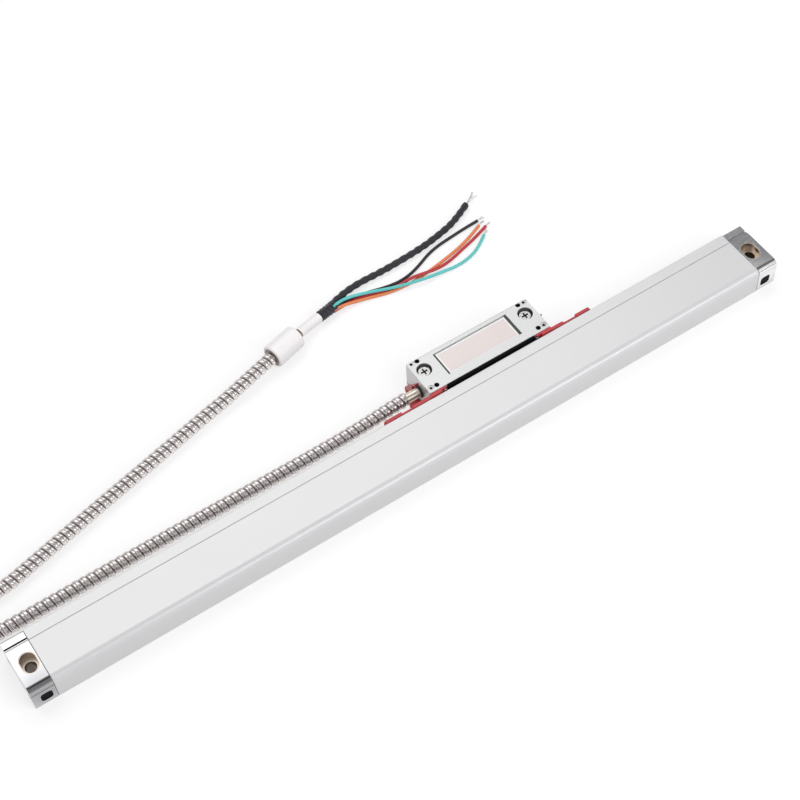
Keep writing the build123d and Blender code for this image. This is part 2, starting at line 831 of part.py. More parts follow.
def reader_blade():
    """The thin pointed blade that runs between the lips and carries the coupling wire in two lugs."""
    half = blade_half
    outer = reader_front_y + blade_in_reader
    outline = (
        (-half, outer),
        (-half, reader_front_y - 0.5),
        (-half + blade_point, blade_inner_y),
        (half - blade_point, blade_inner_y),
        (half, reader_front_y - 0.5),
        (half, outer),
    )
    blade = prism_z(outline, blade_low, blade_high)
    lug_y = wire_y - wire_r - 0.4
    for x in (-blade_lug_x, blade_lug_x):
        lug = block(
            x - blade_lug_wide / 2, x + blade_lug_wide / 2, lug_y, blade_inner_y + 0.5, blade_low, blade_high,
        )
        blade += lug
    end = blade_lug_x + blade_lug_wide
    return blade - rod_x(-end, end, wire_y, slit_middle_z, wire_r + wire_clear)


def coupling_wire():
    """The spring wire between the blade's lugs, held in the middle by the carriage."""
    end = blade_lug_x + blade_lug_wide / 2 + wire_end_over
    wire = rod_x(-end, end, wire_y, slit_middle_z, wire_r)
    for side in (-1, 1):
        wire += rod_x(side * (end - wire_end_over + 0.2), side * end, wire_y, slit_middle_z, wire_r + 0.25)
    return wire


def carriage_frame():
    """The scanning carriage: a plate under the glass, bearing lugs and posts, and an arm over the glass."""
    half = carriage_half
    frame = block(-half, half, carriage_front_y, carriage_back_y, carriage_low_z, carriage_floor_z)
    frame = fillet(frame.edges().filter_by(Axis.Z), carriage_corner_r)
    for side in (-1, 1):
        frame -= block(
            side * (half - window_inset - window_long), side * (half - window_inset),
            carriage_front_y + window_front_rim, carriage_back_y - window_back_rim,
            carriage_low_z - 1, carriage_floor_z + 1,
        )
    pad_x = scan_pad_long / 2
    frame += block(-pad_x, pad_x, scan_pad_front_y, scan_pad_back_y, carriage_floor_z - 0.5, scan_board_low)
    frame += block(
        -column_half, column_half, column_front_y, column_back_y, carriage_low_z, arm_high_z,
    )
    frame += block(-column_half, column_half, arm_front_y, column_back_y, arm_low_z, arm_high_z)
    holder_y = wire_y + wire_r + 0.4
    frame += block(-1.5, 1.5, column_back_y - 0.5, holder_y, blade_low, blade_high)
    frame -= rod_x(-2, 2, wire_y, slit_middle_z, wire_r + wire_clear)
    frame -= rod_z(arm_low_z - 1, arm_high_z + 1, 0, scan_y, lamp_r)
    gap = bearing_width / 2 + bearing_side_gap
    for x, y in face_bearing_places:
        for side in (-1, 1):
            y0 = y + side * gap
            y1 = y0 + side * lug_thick
            frame += block(x - lug_half, x + lug_half, y0, y1, carriage_floor_z - 0.5, face_bearing_z + 1.6)
        frame -= rod_y(y - gap - lug_thick, y + gap + lug_thick, x, face_bearing_z, bearing_pin_r)
    post_top = edge_bearing_z - bearing_width / 2 - bearing_side_gap
    for x in edge_bearing_x:
        frame += block(
            x - post_half, x + post_half,
            edge_bearing_y - 2.0, column_back_y,
            carriage_low_z, post_top,
        )
        frame -= rod_z(carriage_floor_z, post_top + 1, x, edge_bearing_y, bearing_pin_r)
    return frame


def scan_board():
    """The photocell board on the carriage's pad, under the index grating."""
    x, y = scan_pad_long / 2 - 0.3, scan_pad_wide / 2 - 0.3
    top = scan_board_low + scan_board_thick
    return block(-x, x, scan_y - y, scan_y + y, scan_board_low, top)


def index_grating():
    """The small glass grating just under the glass ruler."""
    x, y = scan_pad_long / 2 - 1.5, scan_pad_wide / 2 - 0.8
    return block(-x, x, scan_y - y, scan_y + y, grating_top_z - grating_thick, grating_top_z)


def lamp_holder():
    """The lamp body in the carriage's arm, above the lens."""
    low = arm_low_z + 0.1 + lens_thick
    return rod_z(low, arm_high_z, 0, scan_y, lamp_r) - rod_z(low - 1, low + 0.8, 0, scan_y, 1.2)


def lamp_lens():
    """The round lens below the lamp."""
    return rod_z(arm_low_z + 0.1, arm_low_z + 0.1 + lens_thick, 0, scan_y, lens_r)


def bearing_pins():
    """The five pins that the ball bearings turn on."""
    pins = []
    gap = bearing_width / 2 + bearing_side_gap
    for x, y in face_bearing_places:
        pins.append(rod_y(y - gap - lug_thick, y + gap + lug_thick, x, face_bearing_z, bearing_pin_r))
    top = edge_bearing_z + bearing_width / 2 + bearing_side_gap
    for x in edge_bearing_x:
        pin = rod_z(carriage_floor_z, top, x, edge_bearing_y, bearing_pin_r)
        pins.append(pin + rod_z(top, top + pin_head_high, x, edge_bearing_y, pin_head_r))
    return pins


def ball_bearing():
    """A small shielded bearing about Z, with a shallow groove in each side."""
    ring = rod_z(-bearing_width / 2, bearing_width / 2, 0, 0, bearing_r)
    ring = chamfer(ring.edges().group_by(Axis.Z)[0] + ring.edges().group_by(Axis.Z)[-1], 0.15)
    ring -= rod_z(-bearing_width, bearing_width, 0, 0, bearing_bore_r)
    for side in (-1, 1):
        z0 = side * (bearing_width / 2 - 0.15)
        z1 = side * bearing_width
        ring -= rod_z(z0, z1, 0, 0, bearing_r - 0.6) - rod_z(z0, z1, 0, 0, bearing_bore_r + 0.5)
    return ring


def gland_nut():
    """The black six-sided nut of the cable outlet."""
    nut = Rot(0, 90, 0) * hex_bar(0, gland_nut_long, gland_nut_across / 2 / cos(pi / 6))
    nut -= rod_x(-1, gland_nut_long + 1, 0, 0, ferrule_r)
    return Pos(reader_left_x - gland_nut_long, outlet_y, outlet_z) * nut


def cable_ferrule():
    """The metal ferrule between the reader and the hose."""
    return rod_x(ferrule_end_x, reader_left_x + ferrule_in, outlet_y, outlet_z, ferrule_r)


def bracket_screw_places():
    """X of the two bracket screws, from the middle of the reader."""
    return (-bracket_screw_x, bracket_screw_x)


def transport_bracket(side, reaches):
    """One transport bracket, drawn for the +X end, then mirrored for the other."""
    thick_out, neck_out, tab_out = reaches
    y0 = case_depth + bracket_case_gap
    inner = bracket_screw_x
    thick_start = inner + bracket_land_long
    bracket = block(thick_start, reader_half, y0, reader_front_y, bracket_low, bracket_inner_top)
    land_y = reader_front_y - bracket_land_thick
    bracket += block(inner - 0.6, thick_start, land_y, reader_front_y, bracket_low, bracket_inner_top)
    bracket -= rod_y(y0 - 1, reader_front_y + 1, inner, bracket_screw_z, bracket_screw_r)
    bracket -= block(
        inner - 2.0, inner, y0 - 1, reader_front_y + 1,
        bracket_screw_z - bracket_screw_r, bracket_screw_z + bracket_screw_r,
    )
    web = block(
        reader_half, reader_half + thick_out, y0, y0 + bracket_thick, bracket_low, bracket_top,
    )
    end_edges = web.edges().filter_by(Axis.Y).group_by(Axis.X)[-1]
    bracket += fillet(end_edges, 2.0)
    neck_start = reader_half + thick_out - 2.5
    bracket += block(
        neck_start, reader_half + neck_out, y0, y0 + bracket_neck_thick, bracket_tab_low, bracket_top - 0.5,
    )
    tab = block(
        reader_half + neck_out - 0.01, reader_half + tab_out,
        y0, y0 + bracket_tab_thick, bracket_tab_low, bracket_top,
    )
    bracket += fillet(tab.edges().filter_by(Axis.Y).group_by(Axis.X)[-1], 2.0)
    shelf_front = y0 + bracket_thick
    shelf = prism_z(
        (
            (reader_half, y0),
            (reader_half + shelf_front_out, y0),
            (reader_half + shelf_front_out, shelf_front + shelf_corner_out),
            (reader_half + shelf_back_out, shelf_back_y),
            (reader_half, shelf_back_y),
        ),
        shelf_low, shelf_low + shelf_thick,
    )
    bracket += shelf
    bracket += block(
        reader_half, reader_half + shelf_front_out, y0, shelf_front, shelf_low, bracket_low + 1.0,
    )
    flange = prism_x(
        (
            (flange_front_y, shelf_low + 0.5),
            (shelf_back_y, shelf_low + 0.5),
            (shelf_back_y, shelf_low + shelf_thick + 1.0),
            (flange_knee_y, flange_knee_z),
            (flange_front_y, flange_top_z),
        ),
        reader_half, reader_half + flange_thick,
    )
    flange -= rod_x(
        reader_half - 1, reader_half + flange_thick + 1, outlet_y, outlet_z, flange_hole_r,
    )
    bracket += flange
    if side < 0:
        bracket = mirror(bracket, about=Plane.YZ)
    return bracket


def bracket_screws():
    """The two small screws that clamp the open slots of the brackets to the reader's front."""
    screws = []
    for x in bracket_screw_places():
        seat_y = reader_front_y - bracket_land_thick
        head = rod_y(seat_y - bracket_screw_head_high, seat_y, x, bracket_screw_z, bracket_screw_head_r)
        shank = rod_y(
            seat_y - 0.5, reader_front_y + bracket_screw_deep, x, bracket_screw_z, bracket_screw_r,
        )
        screws.append(head + shank)
    return screws


def hose_coil():
    """The outer shape of the coiled hose: a flat ring, lifted by the ties under it."""
    high = coil_layers * hose_d
    ring = Cylinder(coil_outer_r, high) - Cylinder(coil_inner_r, high + 2)
    return Pos(coil_middle[0], coil_middle[1], coil_lift + high / 2) * ring


def coil_ties():
    """The two straps round the coil."""
    ties = []
    wide = coil_outer_r - coil_inner_r + 2 * tie_clear
    high = coil_layers * hose_d + 2 * tie_clear
    middle_r = (coil_inner_r + coil_outer_r) / 2
    for angle in tie_angles:
        strap = Box(wide + 2 * tie_thick, tie_wide, high + 2 * tie_thick - 0.1)
        strap = fillet(strap.edges().filter_by(Axis.Y), 1.0)
        strap -= Box(wide, tie_wide + 2, high)
        place = Pos(coil_middle[0], coil_middle[1], coil_lift + coil_layers * hose_d / 2)
        ties.append(place * Rot(0, 0, angle) * Pos(middle_r, 0, 0) * strap)
    return ties


def end_fitting():
    """The metal sleeve on the end of the hose, opened out at its mouth round the cable."""
    start, before = Vector(*hose_back_points[-1]), Vector(*hose_back_points[-2])
    sleeve = Cylinder(fitting_r, fitting_length, align=(Align.CENTER, Align.CENTER, Align.MIN))
    sleeve = chamfer(sleeve.edges().group_by(Axis.Z)[0] + sleeve.edges().group_by(Axis.Z)[-1], fitting_chamfer)
    sleeve -= rod_z(fitting_length - fitting_mouth_deep, fitting_length + 1, 0, 0, fitting_mouth_r)
    return Plane(origin=start, z_dir=start - before) * sleeve


def jacket_start():
    """The point at the bottom of the fitting's mouth, where the cable comes out."""
    end, before = Vector(*hose_back_points[-1]), Vector(*hose_back_points[-2])
    start = end + (end - before).normalized() * (fitting_length - fitting_mouth_deep)
    return (start.X, start.Y, start.Z)


def shrink_sleeve():
    """The shrunk black sleeve where the jacket ends and the wires begin."""
    bar = Cylinder(sleeve_r, sleeve_length, align=(Align.CENTER, Align.CENTER, Align.MIN))
    bar = fillet(bar.edges().filter_by(GeomType.CIRCLE), 0.8)
    start, before = Vector(*jacket_points[-1]), Vector(*jacket_points[-2])
    return Plane(origin=start, z_dir=start - before) * bar


def stripped_end(points, long):
    """The bare strands that stand out of one wire's end."""
    end, before = Vector(*points[-1]), Vector(*points[-2])
    strand = Cylinder(strand_d / 2, long, align=(Align.CENTER, Align.CENTER, Align.MIN))
    return Plane(origin=end, z_dir=end - before) * strand


def stripped_ends():
    """The bare ends of all five wires."""
    ends = [stripped_end(thick_black_points, thick_strand_long)]
    for points in (turquoise_points, orange_points, red_points, thin_black_points):
        ends.append(stripped_end(points, thin_strand_long))
    return ends


def write(name, pieces):
    """Sets the pieces about the middle of the footprint and writes them as one STEP file."""
    solids = pieces if isinstance(pieces, list) else [pieces]
    moved = [Pos(0, -footprint_middle_y, 0) * s for s in solids]
    whole = moved[0] if len(moved) == 1 else Compound(children=moved)
    export_step(whole, os.path.join("parts", name + ".step"))


def on_reader(pieces):
    """Moves pieces drawn about the reader's middle to where the reader rests."""
    if isinstance(pieces, list):
        return [Pos(reader_rest_x, 0, 0) * p for p in pieces]
    return Pos(reader_rest_x, 0, 0) * pieces


def write_case():
    """Writes the fixed pieces: case, glass, lips, caps and what is fastened to them."""
    write("scale_case", scale_case())
    write("glass_scale", glass_scale())
    write("glass_clamp_cord", glass_clamp_cord())
    write("lip_seal_upper", lip_seal(1))
    write("lip_seal_lower", lip_seal(-1))
    for name, side in (("left", -1), ("right", 1)):
        write("end_cap_" + name, end_cap(side))
        write("end_gasket_" + name, end_gasket(side))
        write("end_cap_screws_" + name, [cap_screw(side, y) for y in screw_port_ys])
        write("mount_liner_" + name, mount_liner(side))
        write("port_plug_" + name, port_plug(side))


def write_reader():
    """Writes the reader head and the transport brackets that ride with it."""
    write("reader_housing", on_reader(reader_housing()))
    write("reader_nameplate", on_reader(nameplate()))
    write("reader_base_plate", on_reader(reader_base_plate()))
    write("reader_gasket", on_reader(reader_gasket()))
    write("reader_front_seal", on_reader(reader_front_seal()))
    write("reader_bolts", on_reader(reader_bolts()))
    write("reader_corner_screws", on_reader(reader_corner_screws()))
    write("preamp_board", on_reader(preamp_board()))
    write("reader_blade", on_reader(reader_blade()))
    write("coupling_wire", on_reader(coupling_wire()))
    write("transport_bracket_left", on_reader(transport_bracket(-1, bracket_left_reaches)))
    write("transport_bracket_right", on_reader(transport_bracket(1, bracket_right_reaches)))
    write("bracket_screws", on_reader(bracket_screws()))
    write("gland_nut", gland_nut())
    write("cable_ferrule", cable_ferrule())


def write_carriage():
    """Writes the scanning carriage and its five bearings."""
    write("carriage_frame", on_reader(carriage_frame()))
    write("scan_board", on_reader(scan_board()))
    write("index_grating", on_reader(index_grating()))
    write("lamp_holder", on_reader(lamp_holder()))
    write("lamp_lens", on_reader(lamp_lens()))
    write("bearing_pins", on_reader(bearing_pins()))
    names = ("left", "right", "middle")
    for name, (x, y) in zip(names, face_bearing_places):
        bearing = Pos(x, y, face_bearing_z) * Rot(90, 0, 0) * ball_bearing()
        write("face_bearing_" + name, on_reader(bearing))
    for name, x in zip(names, edge_bearing_x):
        bearing = Pos(x, edge_bearing_y, edge_bearing_z) * ball_bearing()
        write("edge_bearing_" + name, on_reader(bearing))


def write_cable():
    """Writes the hose, its coil and fitting, and the cable's loose wires."""
    hose_start = (ferrule_end_x, outlet_y, outlet_z)
    hose_straight = (ferrule_end_x - hose_first_run, outlet_y, outlet_z)
    write("hose_out_run", tube((hose_start, hose_straight) + hose_out_points, hose_d))
    write("hose_coil", hose_coil())
    write("hose_back_run", tube(hose_back_points, hose_d))
    write("coil_ties", coil_ties())
    write("hose_end_fitting", end_fitting())
    write("cable_jacket", tube((jacket_start(),) + jacket_points, jacket_d))
    write("shrink_sleeve", shrink_sleeve())
    write("thick_black_wire", tube(thick_black_points, black_wire_d))
    write("turquoise_wire", tube(turquoise_points, thin_wire_d))
    write("orange_wire", tube(orange_points, thin_wire_d))
    write("red_wire", tube(red_points, thin_wire_d))
    write("thin_black_wire", tube(thin_black_points, thin_wire_d))
    write("stripped_wire_ends", stripped_ends())


os.makedirs("parts", exist_ok=True)
write_case()
write_reader()
write_carriage()
write_cable()
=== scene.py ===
"""Dressed scene of a sealed linear glass scale: case, end caps, reader head, brackets and armoured cable.

Every length is in metres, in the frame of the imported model: X along the case, Y from the case towards the
reader, Z up from the surface that the scale lies on.
"""
import logging
import math
from dataclasses import dataclass
from enum import Enum

import bmesh
import bpy
import numpy as np
from mathutils import Matrix, Vector


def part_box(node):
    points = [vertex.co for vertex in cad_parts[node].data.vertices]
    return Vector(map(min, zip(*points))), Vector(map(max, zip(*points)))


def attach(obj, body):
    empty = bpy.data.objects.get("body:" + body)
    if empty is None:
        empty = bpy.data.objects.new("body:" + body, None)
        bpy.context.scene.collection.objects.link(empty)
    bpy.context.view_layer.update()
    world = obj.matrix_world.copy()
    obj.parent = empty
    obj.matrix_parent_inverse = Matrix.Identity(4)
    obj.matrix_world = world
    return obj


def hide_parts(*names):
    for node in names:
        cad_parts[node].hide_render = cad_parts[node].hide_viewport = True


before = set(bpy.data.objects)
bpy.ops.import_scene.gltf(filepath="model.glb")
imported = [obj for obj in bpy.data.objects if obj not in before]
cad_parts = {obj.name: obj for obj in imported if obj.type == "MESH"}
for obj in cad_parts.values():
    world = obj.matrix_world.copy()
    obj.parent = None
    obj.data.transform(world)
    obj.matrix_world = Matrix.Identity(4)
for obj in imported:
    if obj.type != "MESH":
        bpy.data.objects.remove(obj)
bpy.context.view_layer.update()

log = logging.getLogger("scale")
logging.basicConfig(level=logging.INFO, format="%(message)s")

Point = tuple[float, float, float]
# What a node's input takes: another node's output, or a plain value
Source = bpy.types.NodeSocket | float | tuple[float, ...]

READER_BODY = "reader"
CASE_BODY = "case"


@dataclass(frozen=True)
class Box:
    """The lowest and the highest corner of a piece."""

    low: np.ndarray
    high: np.ndarray

    @classmethod
    def of_node(cls, node: str) -> "Box":
        """Reads a CAD node's box at rest from its imported mesh."""
        low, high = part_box(node)
        return cls(np.array(low), np.array(high))

    @property
    def middle(self) -> np.ndarray:
        """The point halfway between the corners."""
        return (self.low + self.high) / 2

    @property
    def half(self) -> np.ndarray:
        """Half of the box's size along each axis."""
        return (self.high - self.low) / 2


CASE = Box.of_node("scale_case")
HOUSING = Box.of_node("reader_housing")
PLATE = Box.of_node("reader_nameplate")
FERRULE_BOX = Box.of_node("cable_ferrule")

# The hose: its route on the table, out to the coil and back from it
HOSE_DIAMETER = 0.0096
HOSE_OUT_POINTS: tuple[Point, ...] = (
    (-0.0140, 0.0178, 0.00840),
    (-0.0460, 0.0183, 0.00600),
    (-0.0920, 0.0191, 0.00490),
    (-0.1510, 0.0196, 0.00490),
    (-0.2120, 0.0191, 0.00490),
    (-0.2740, 0.0188, 0.00490),
    (-0.3350, 0.0189, 0.00510),
    (-0.3882, 0.0190, 0.00590),
)
HOSE_BACK_POINTS: tuple[Point, ...] = (
    (-0.3235, 0.1101, 0.01550),
    (-0.3186, 0.0796, 0.01340),
    (-0.2958, 0.0521, 0.00840),
    (-0.2610, 0.0415, 0.00490),
    (-0.2220, 0.0513, 0.00490),
    (-0.1760, 0.0628, 0.00490),
    (-0.1320, 0.0731, 0.00490),
    (-0.0980, 0.0818, 0.00490),
    (-0.0760, 0.0863, 0.00530),
    (-0.0565, 0.0904, 0.00805),
    (-0.0355, 0.0961, 0.00805),
)

# The loose wires at the end of the cable
THICK_BLACK_POINTS: tuple[Point, ...] = (
    (0.0182, 0.1126, 0.00465),
    (0.0310, 0.1175, 0.00320),
    (0.0460, 0.1196, 0.00255),
    (0.0620, 0.1190, 0.00255),
    (0.0800, 0.1197, 0.00255),
    (0.0970, 0.1209, 0.00255),
    (0.1130, 0.1237, 0.00255),
    (0.1280, 0.1275, 0.00255),
    (0.1427, 0.1353, 0.00255),
)
TURQUOISE_POINTS: tuple[Point, ...] = (
    (0.0190, 0.1095, 0.00665),
    (0.0260, 0.1119, 0.00560),
    (0.0350, 0.1117, 0.00400),
    (0.0474, 0.1080, 0.00360),
    (0.0605, 0.1027, 0.00345),
    (0.0730, 0.0991, 0.00360),
    (0.0845, 0.0968, 0.00320),
    (0.0966, 0.0964, 0.00130),
    (0.1080, 0.0950, 0.00115),
    (0.1185, 0.0963, 0.00115),
    (0.1285, 0.1001, 0.00115),
    (0.1380, 0.1071, 0.00115),
)
ORANGE_POINTS: tuple[Point, ...] = (
    (0.0190, 0.1084, 0.00435),
    (0.0260, 0.1090, 0.00370),
    (0.0345, 0.1081, 0.00200),
    (0.0460, 0.1056, 0.00115),
    (0.0586, 0.1018, 0.00115),
    (0.0727, 0.1005, 0.00115),
    (0.0860, 0.1015, 0.00115),
    (0.0997, 0.1037, 0.00115),
    (0.1155, 0.1068, 0.00115),
    (0.1297, 0.1113, 0.00115),
    (0.1398, 0.1159, 0.00115),
)
RED_POINTS: tuple[Point, ...] = (
    (0.0190, 0.1092, 0.00190),
    (0.0265, 0.1102, 0.00125),
    (0.0350, 0.1105, 0.00115),
    (0.0460, 0.1081, 0.00115),
    (0.0570, 0.1050, 0.00115),
    (0.0660, 0.1033, 0.00130),
    (0.0760, 0.1028, 0.00340),
    (0.0860, 0.1006, 0.00365),
    (0.0970, 0.0997, 0.00220),
    (0.1080, 0.1019, 0.00115),
    (0.1190, 0.1051, 0.00115),
    (0.1310, 0.1082, 0.00115),
    (0.1434, 0.1128, 0.00115),
)
THIN_BLACK_POINTS: tuple[Point, ...] = (
    (0.0190, 0.1113, 0.00115),
    (0.0265, 0.1124, 0.00115),
    (0.0350, 0.1129, 0.00115),
    (0.0460, 0.1106, 0.00115),
    (0.0570, 0.1075, 0.00115),
    (0.0670, 0.1059, 0.00115),
    (0.0765, 0.1066, 0.00115),
    (0.0867, 0.1099, 0.00115),
    (0.0972, 0.1146, 0.00115),
    (0.1070, 0.1170, 0.00115),
    (0.1183, 0.1182, 0.00115),
    (0.1307, 0.1194, 0.00115),
    (0.1415, 0.1199, 0.00115),
)
THICK_WIRE_DIAMETER = 0.0050
THIN_WIRE_DIAMETER = 0.0022


class Grain(Enum):
    """The kinds of small relief that a finish can have."""

    BRUSHED_X = "brushed_x"
    EVEN = "even"
    MILLED_X = "milled_x"


# How much of the noise's detail each grain keeps along X, Y and Z
GRAIN_STRETCH: dict[Grain, Point] = {
    Grain.BRUSHED_X: (0.03, 1.0, 1.0),
    Grain.EVEN: (1.0, 1.0, 1.0),
    Grain.MILLED_X: (0.10, 1.0, 1.0),
}


@dataclass(frozen=True)
class PlateBorder:
    """The rim of a flat plate: dark at both ends, then a rim of bare metal round the tinted middle."""

    middle: Point
    half: Point
    dark_width: float = 0.0012
    rim_width: float = 0.0023
    rim_height: float = 0.0012
    dark_colour: Point = (0.06, 0.058, 0.056)
    rim_colour: Point = (0.84, 0.84, 0.83)


@dataclass(frozen=True)
class PaintedLightSpot:
    """Painted light or shade near a point, which the surface takes there and which fades out round it."""

    centre: Point
    radius: float
    colour: Point
    full_share: float = 0.93


@dataclass(frozen=True)
class Finish:
    """How one surface looks: its colour, gloss and fine relief."""

    name: str
    colour: Point
    metallic: float = 0.0
    roughness: float = 0.5
    grain: Grain = Grain.EVEN
    grain_scale: float = 900.0
    relief: float = 0.00001
    tint_spread: float = 0.06
    gloss_spread: float = 0.08
    coat: float = 0.0
    coat_roughness: float = 0.12
    transmission: float = 0.0
    gloss: float = 0.5
    slot: str = ""
    # Painted shade for holes and grooves: the attribute that says how much, and the painted shade's colour
    shade_attribute: str = ""
    shade_colour: Point = (0.1, 0.1, 0.1)
    border: PlateBorder | None = None
    painted_spots: tuple[PaintedLightSpot, ...] = ()

    def tinted(self, share: float) -> tuple[float, ...]:
        """Gives the colour with its opacity, made lighter or darker by a share and kept below white."""
        return (*(min(1.0, part * (1.0 + share)) for part in self.colour), 1.0)


class Graph:
    """A node tree, with one short call for each kind of node that the looks are made of."""

    def __init__(self, tree: bpy.types.NodeTree) -> None:
        """Keeps the tree to build in."""
        self.nodes = tree.nodes
        self.links = tree.links

    def feed(self, socket: bpy.types.NodeSocket, source: Source) -> None:
        """Joins an input to another node's output, or gives it a plain value.

        Args:
            socket: the input.
            source: the output or the value.
        """
        if isinstance(source, bpy.types.NodeSocket):
            self.links.new(source, socket)
        else:
            socket.default_value = source

    def number(self, operation: str, *terms: Source) -> bpy.types.NodeSocket:
        """Works out a number from other numbers.

        Args:
            operation: what to do with the terms.
            terms: the numbers, in order.
        Returns:
            The result.
        """
        node = self.nodes.new("ShaderNodeMath")
        node.operation = operation
        for socket, term in zip(node.inputs, terms):
            self.feed(socket, term)
        return node.outputs["Value"]

    def measured(self, operation: str, place: Source, fixed: Point) -> bpy.types.NodeSocket:
        """Measures a place against a fixed vector, such as their distance.

        Args:
            operation: what to do with the two.
            place: the place that varies over the surface.
            fixed: the fixed vector.
        Returns:
            The result.
        """
        node = self.nodes.new("ShaderNodeVectorMath")
        node.operation = operation
        self.feed(node.inputs[0], place)
        self.feed(node.inputs[1], fixed)
        return node.outputs["Value"]

    def ranged(self, value: Source, start: tuple[float, float], end: tuple[float, float],
               smooth: bool = False) -> bpy.types.NodeSocket:
        """Carries a number from one range over to another.

        Args:
            value: the number.
            start: the range that it comes from.
            end: the range that it goes to.
            smooth: whether it eases in and out.
        Returns:
            The result.
        """
        node = self.nodes.new("ShaderNodeMapRange")
        node.interpolation_type = "SMOOTHSTEP" if smooth else "LINEAR"
        node.inputs["From Min"].default_value, node.inputs["From Max"].default_value = start
        node.inputs["To Min"].default_value, node.inputs["To Max"].default_value = end
        self.feed(node.inputs["Value"], value)
        return node.outputs["Result"]

    def noise(self, place: Source, scale: float, detail: float) -> bpy.types.NodeSocket:
        """Gives smooth noise between 0 and 1.

        Args:
            place: where on the surface.
            scale: how fine it is.
            detail: how many finer layers it has.
        Returns:
            The noise.
        """
        node = self.nodes.new("ShaderNodeTexNoise")
        node.inputs["Scale"].default_value = scale
        node.inputs["Detail"].default_value = detail
        self.feed(node.inputs["Vector"], place)
        return node.outputs["Fac"]

    def mixed(self, share: Source, first: Source, second: Source) -> bpy.types.NodeSocket:
        """Blends two colours.

        Args:
            share: how much of the second colour is taken.
            first: the first colour.
            second: the second colour.
        Returns:
            The blend.
        """
        node = self.nodes.new("ShaderNodeMix")
        node.data_type = "RGBA"
        self.feed(node.inputs["Factor"], share)
        self.feed(node.inputs["A"], first)
        self.feed(node.inputs["B"], second)
        return node.outputs["Result"]


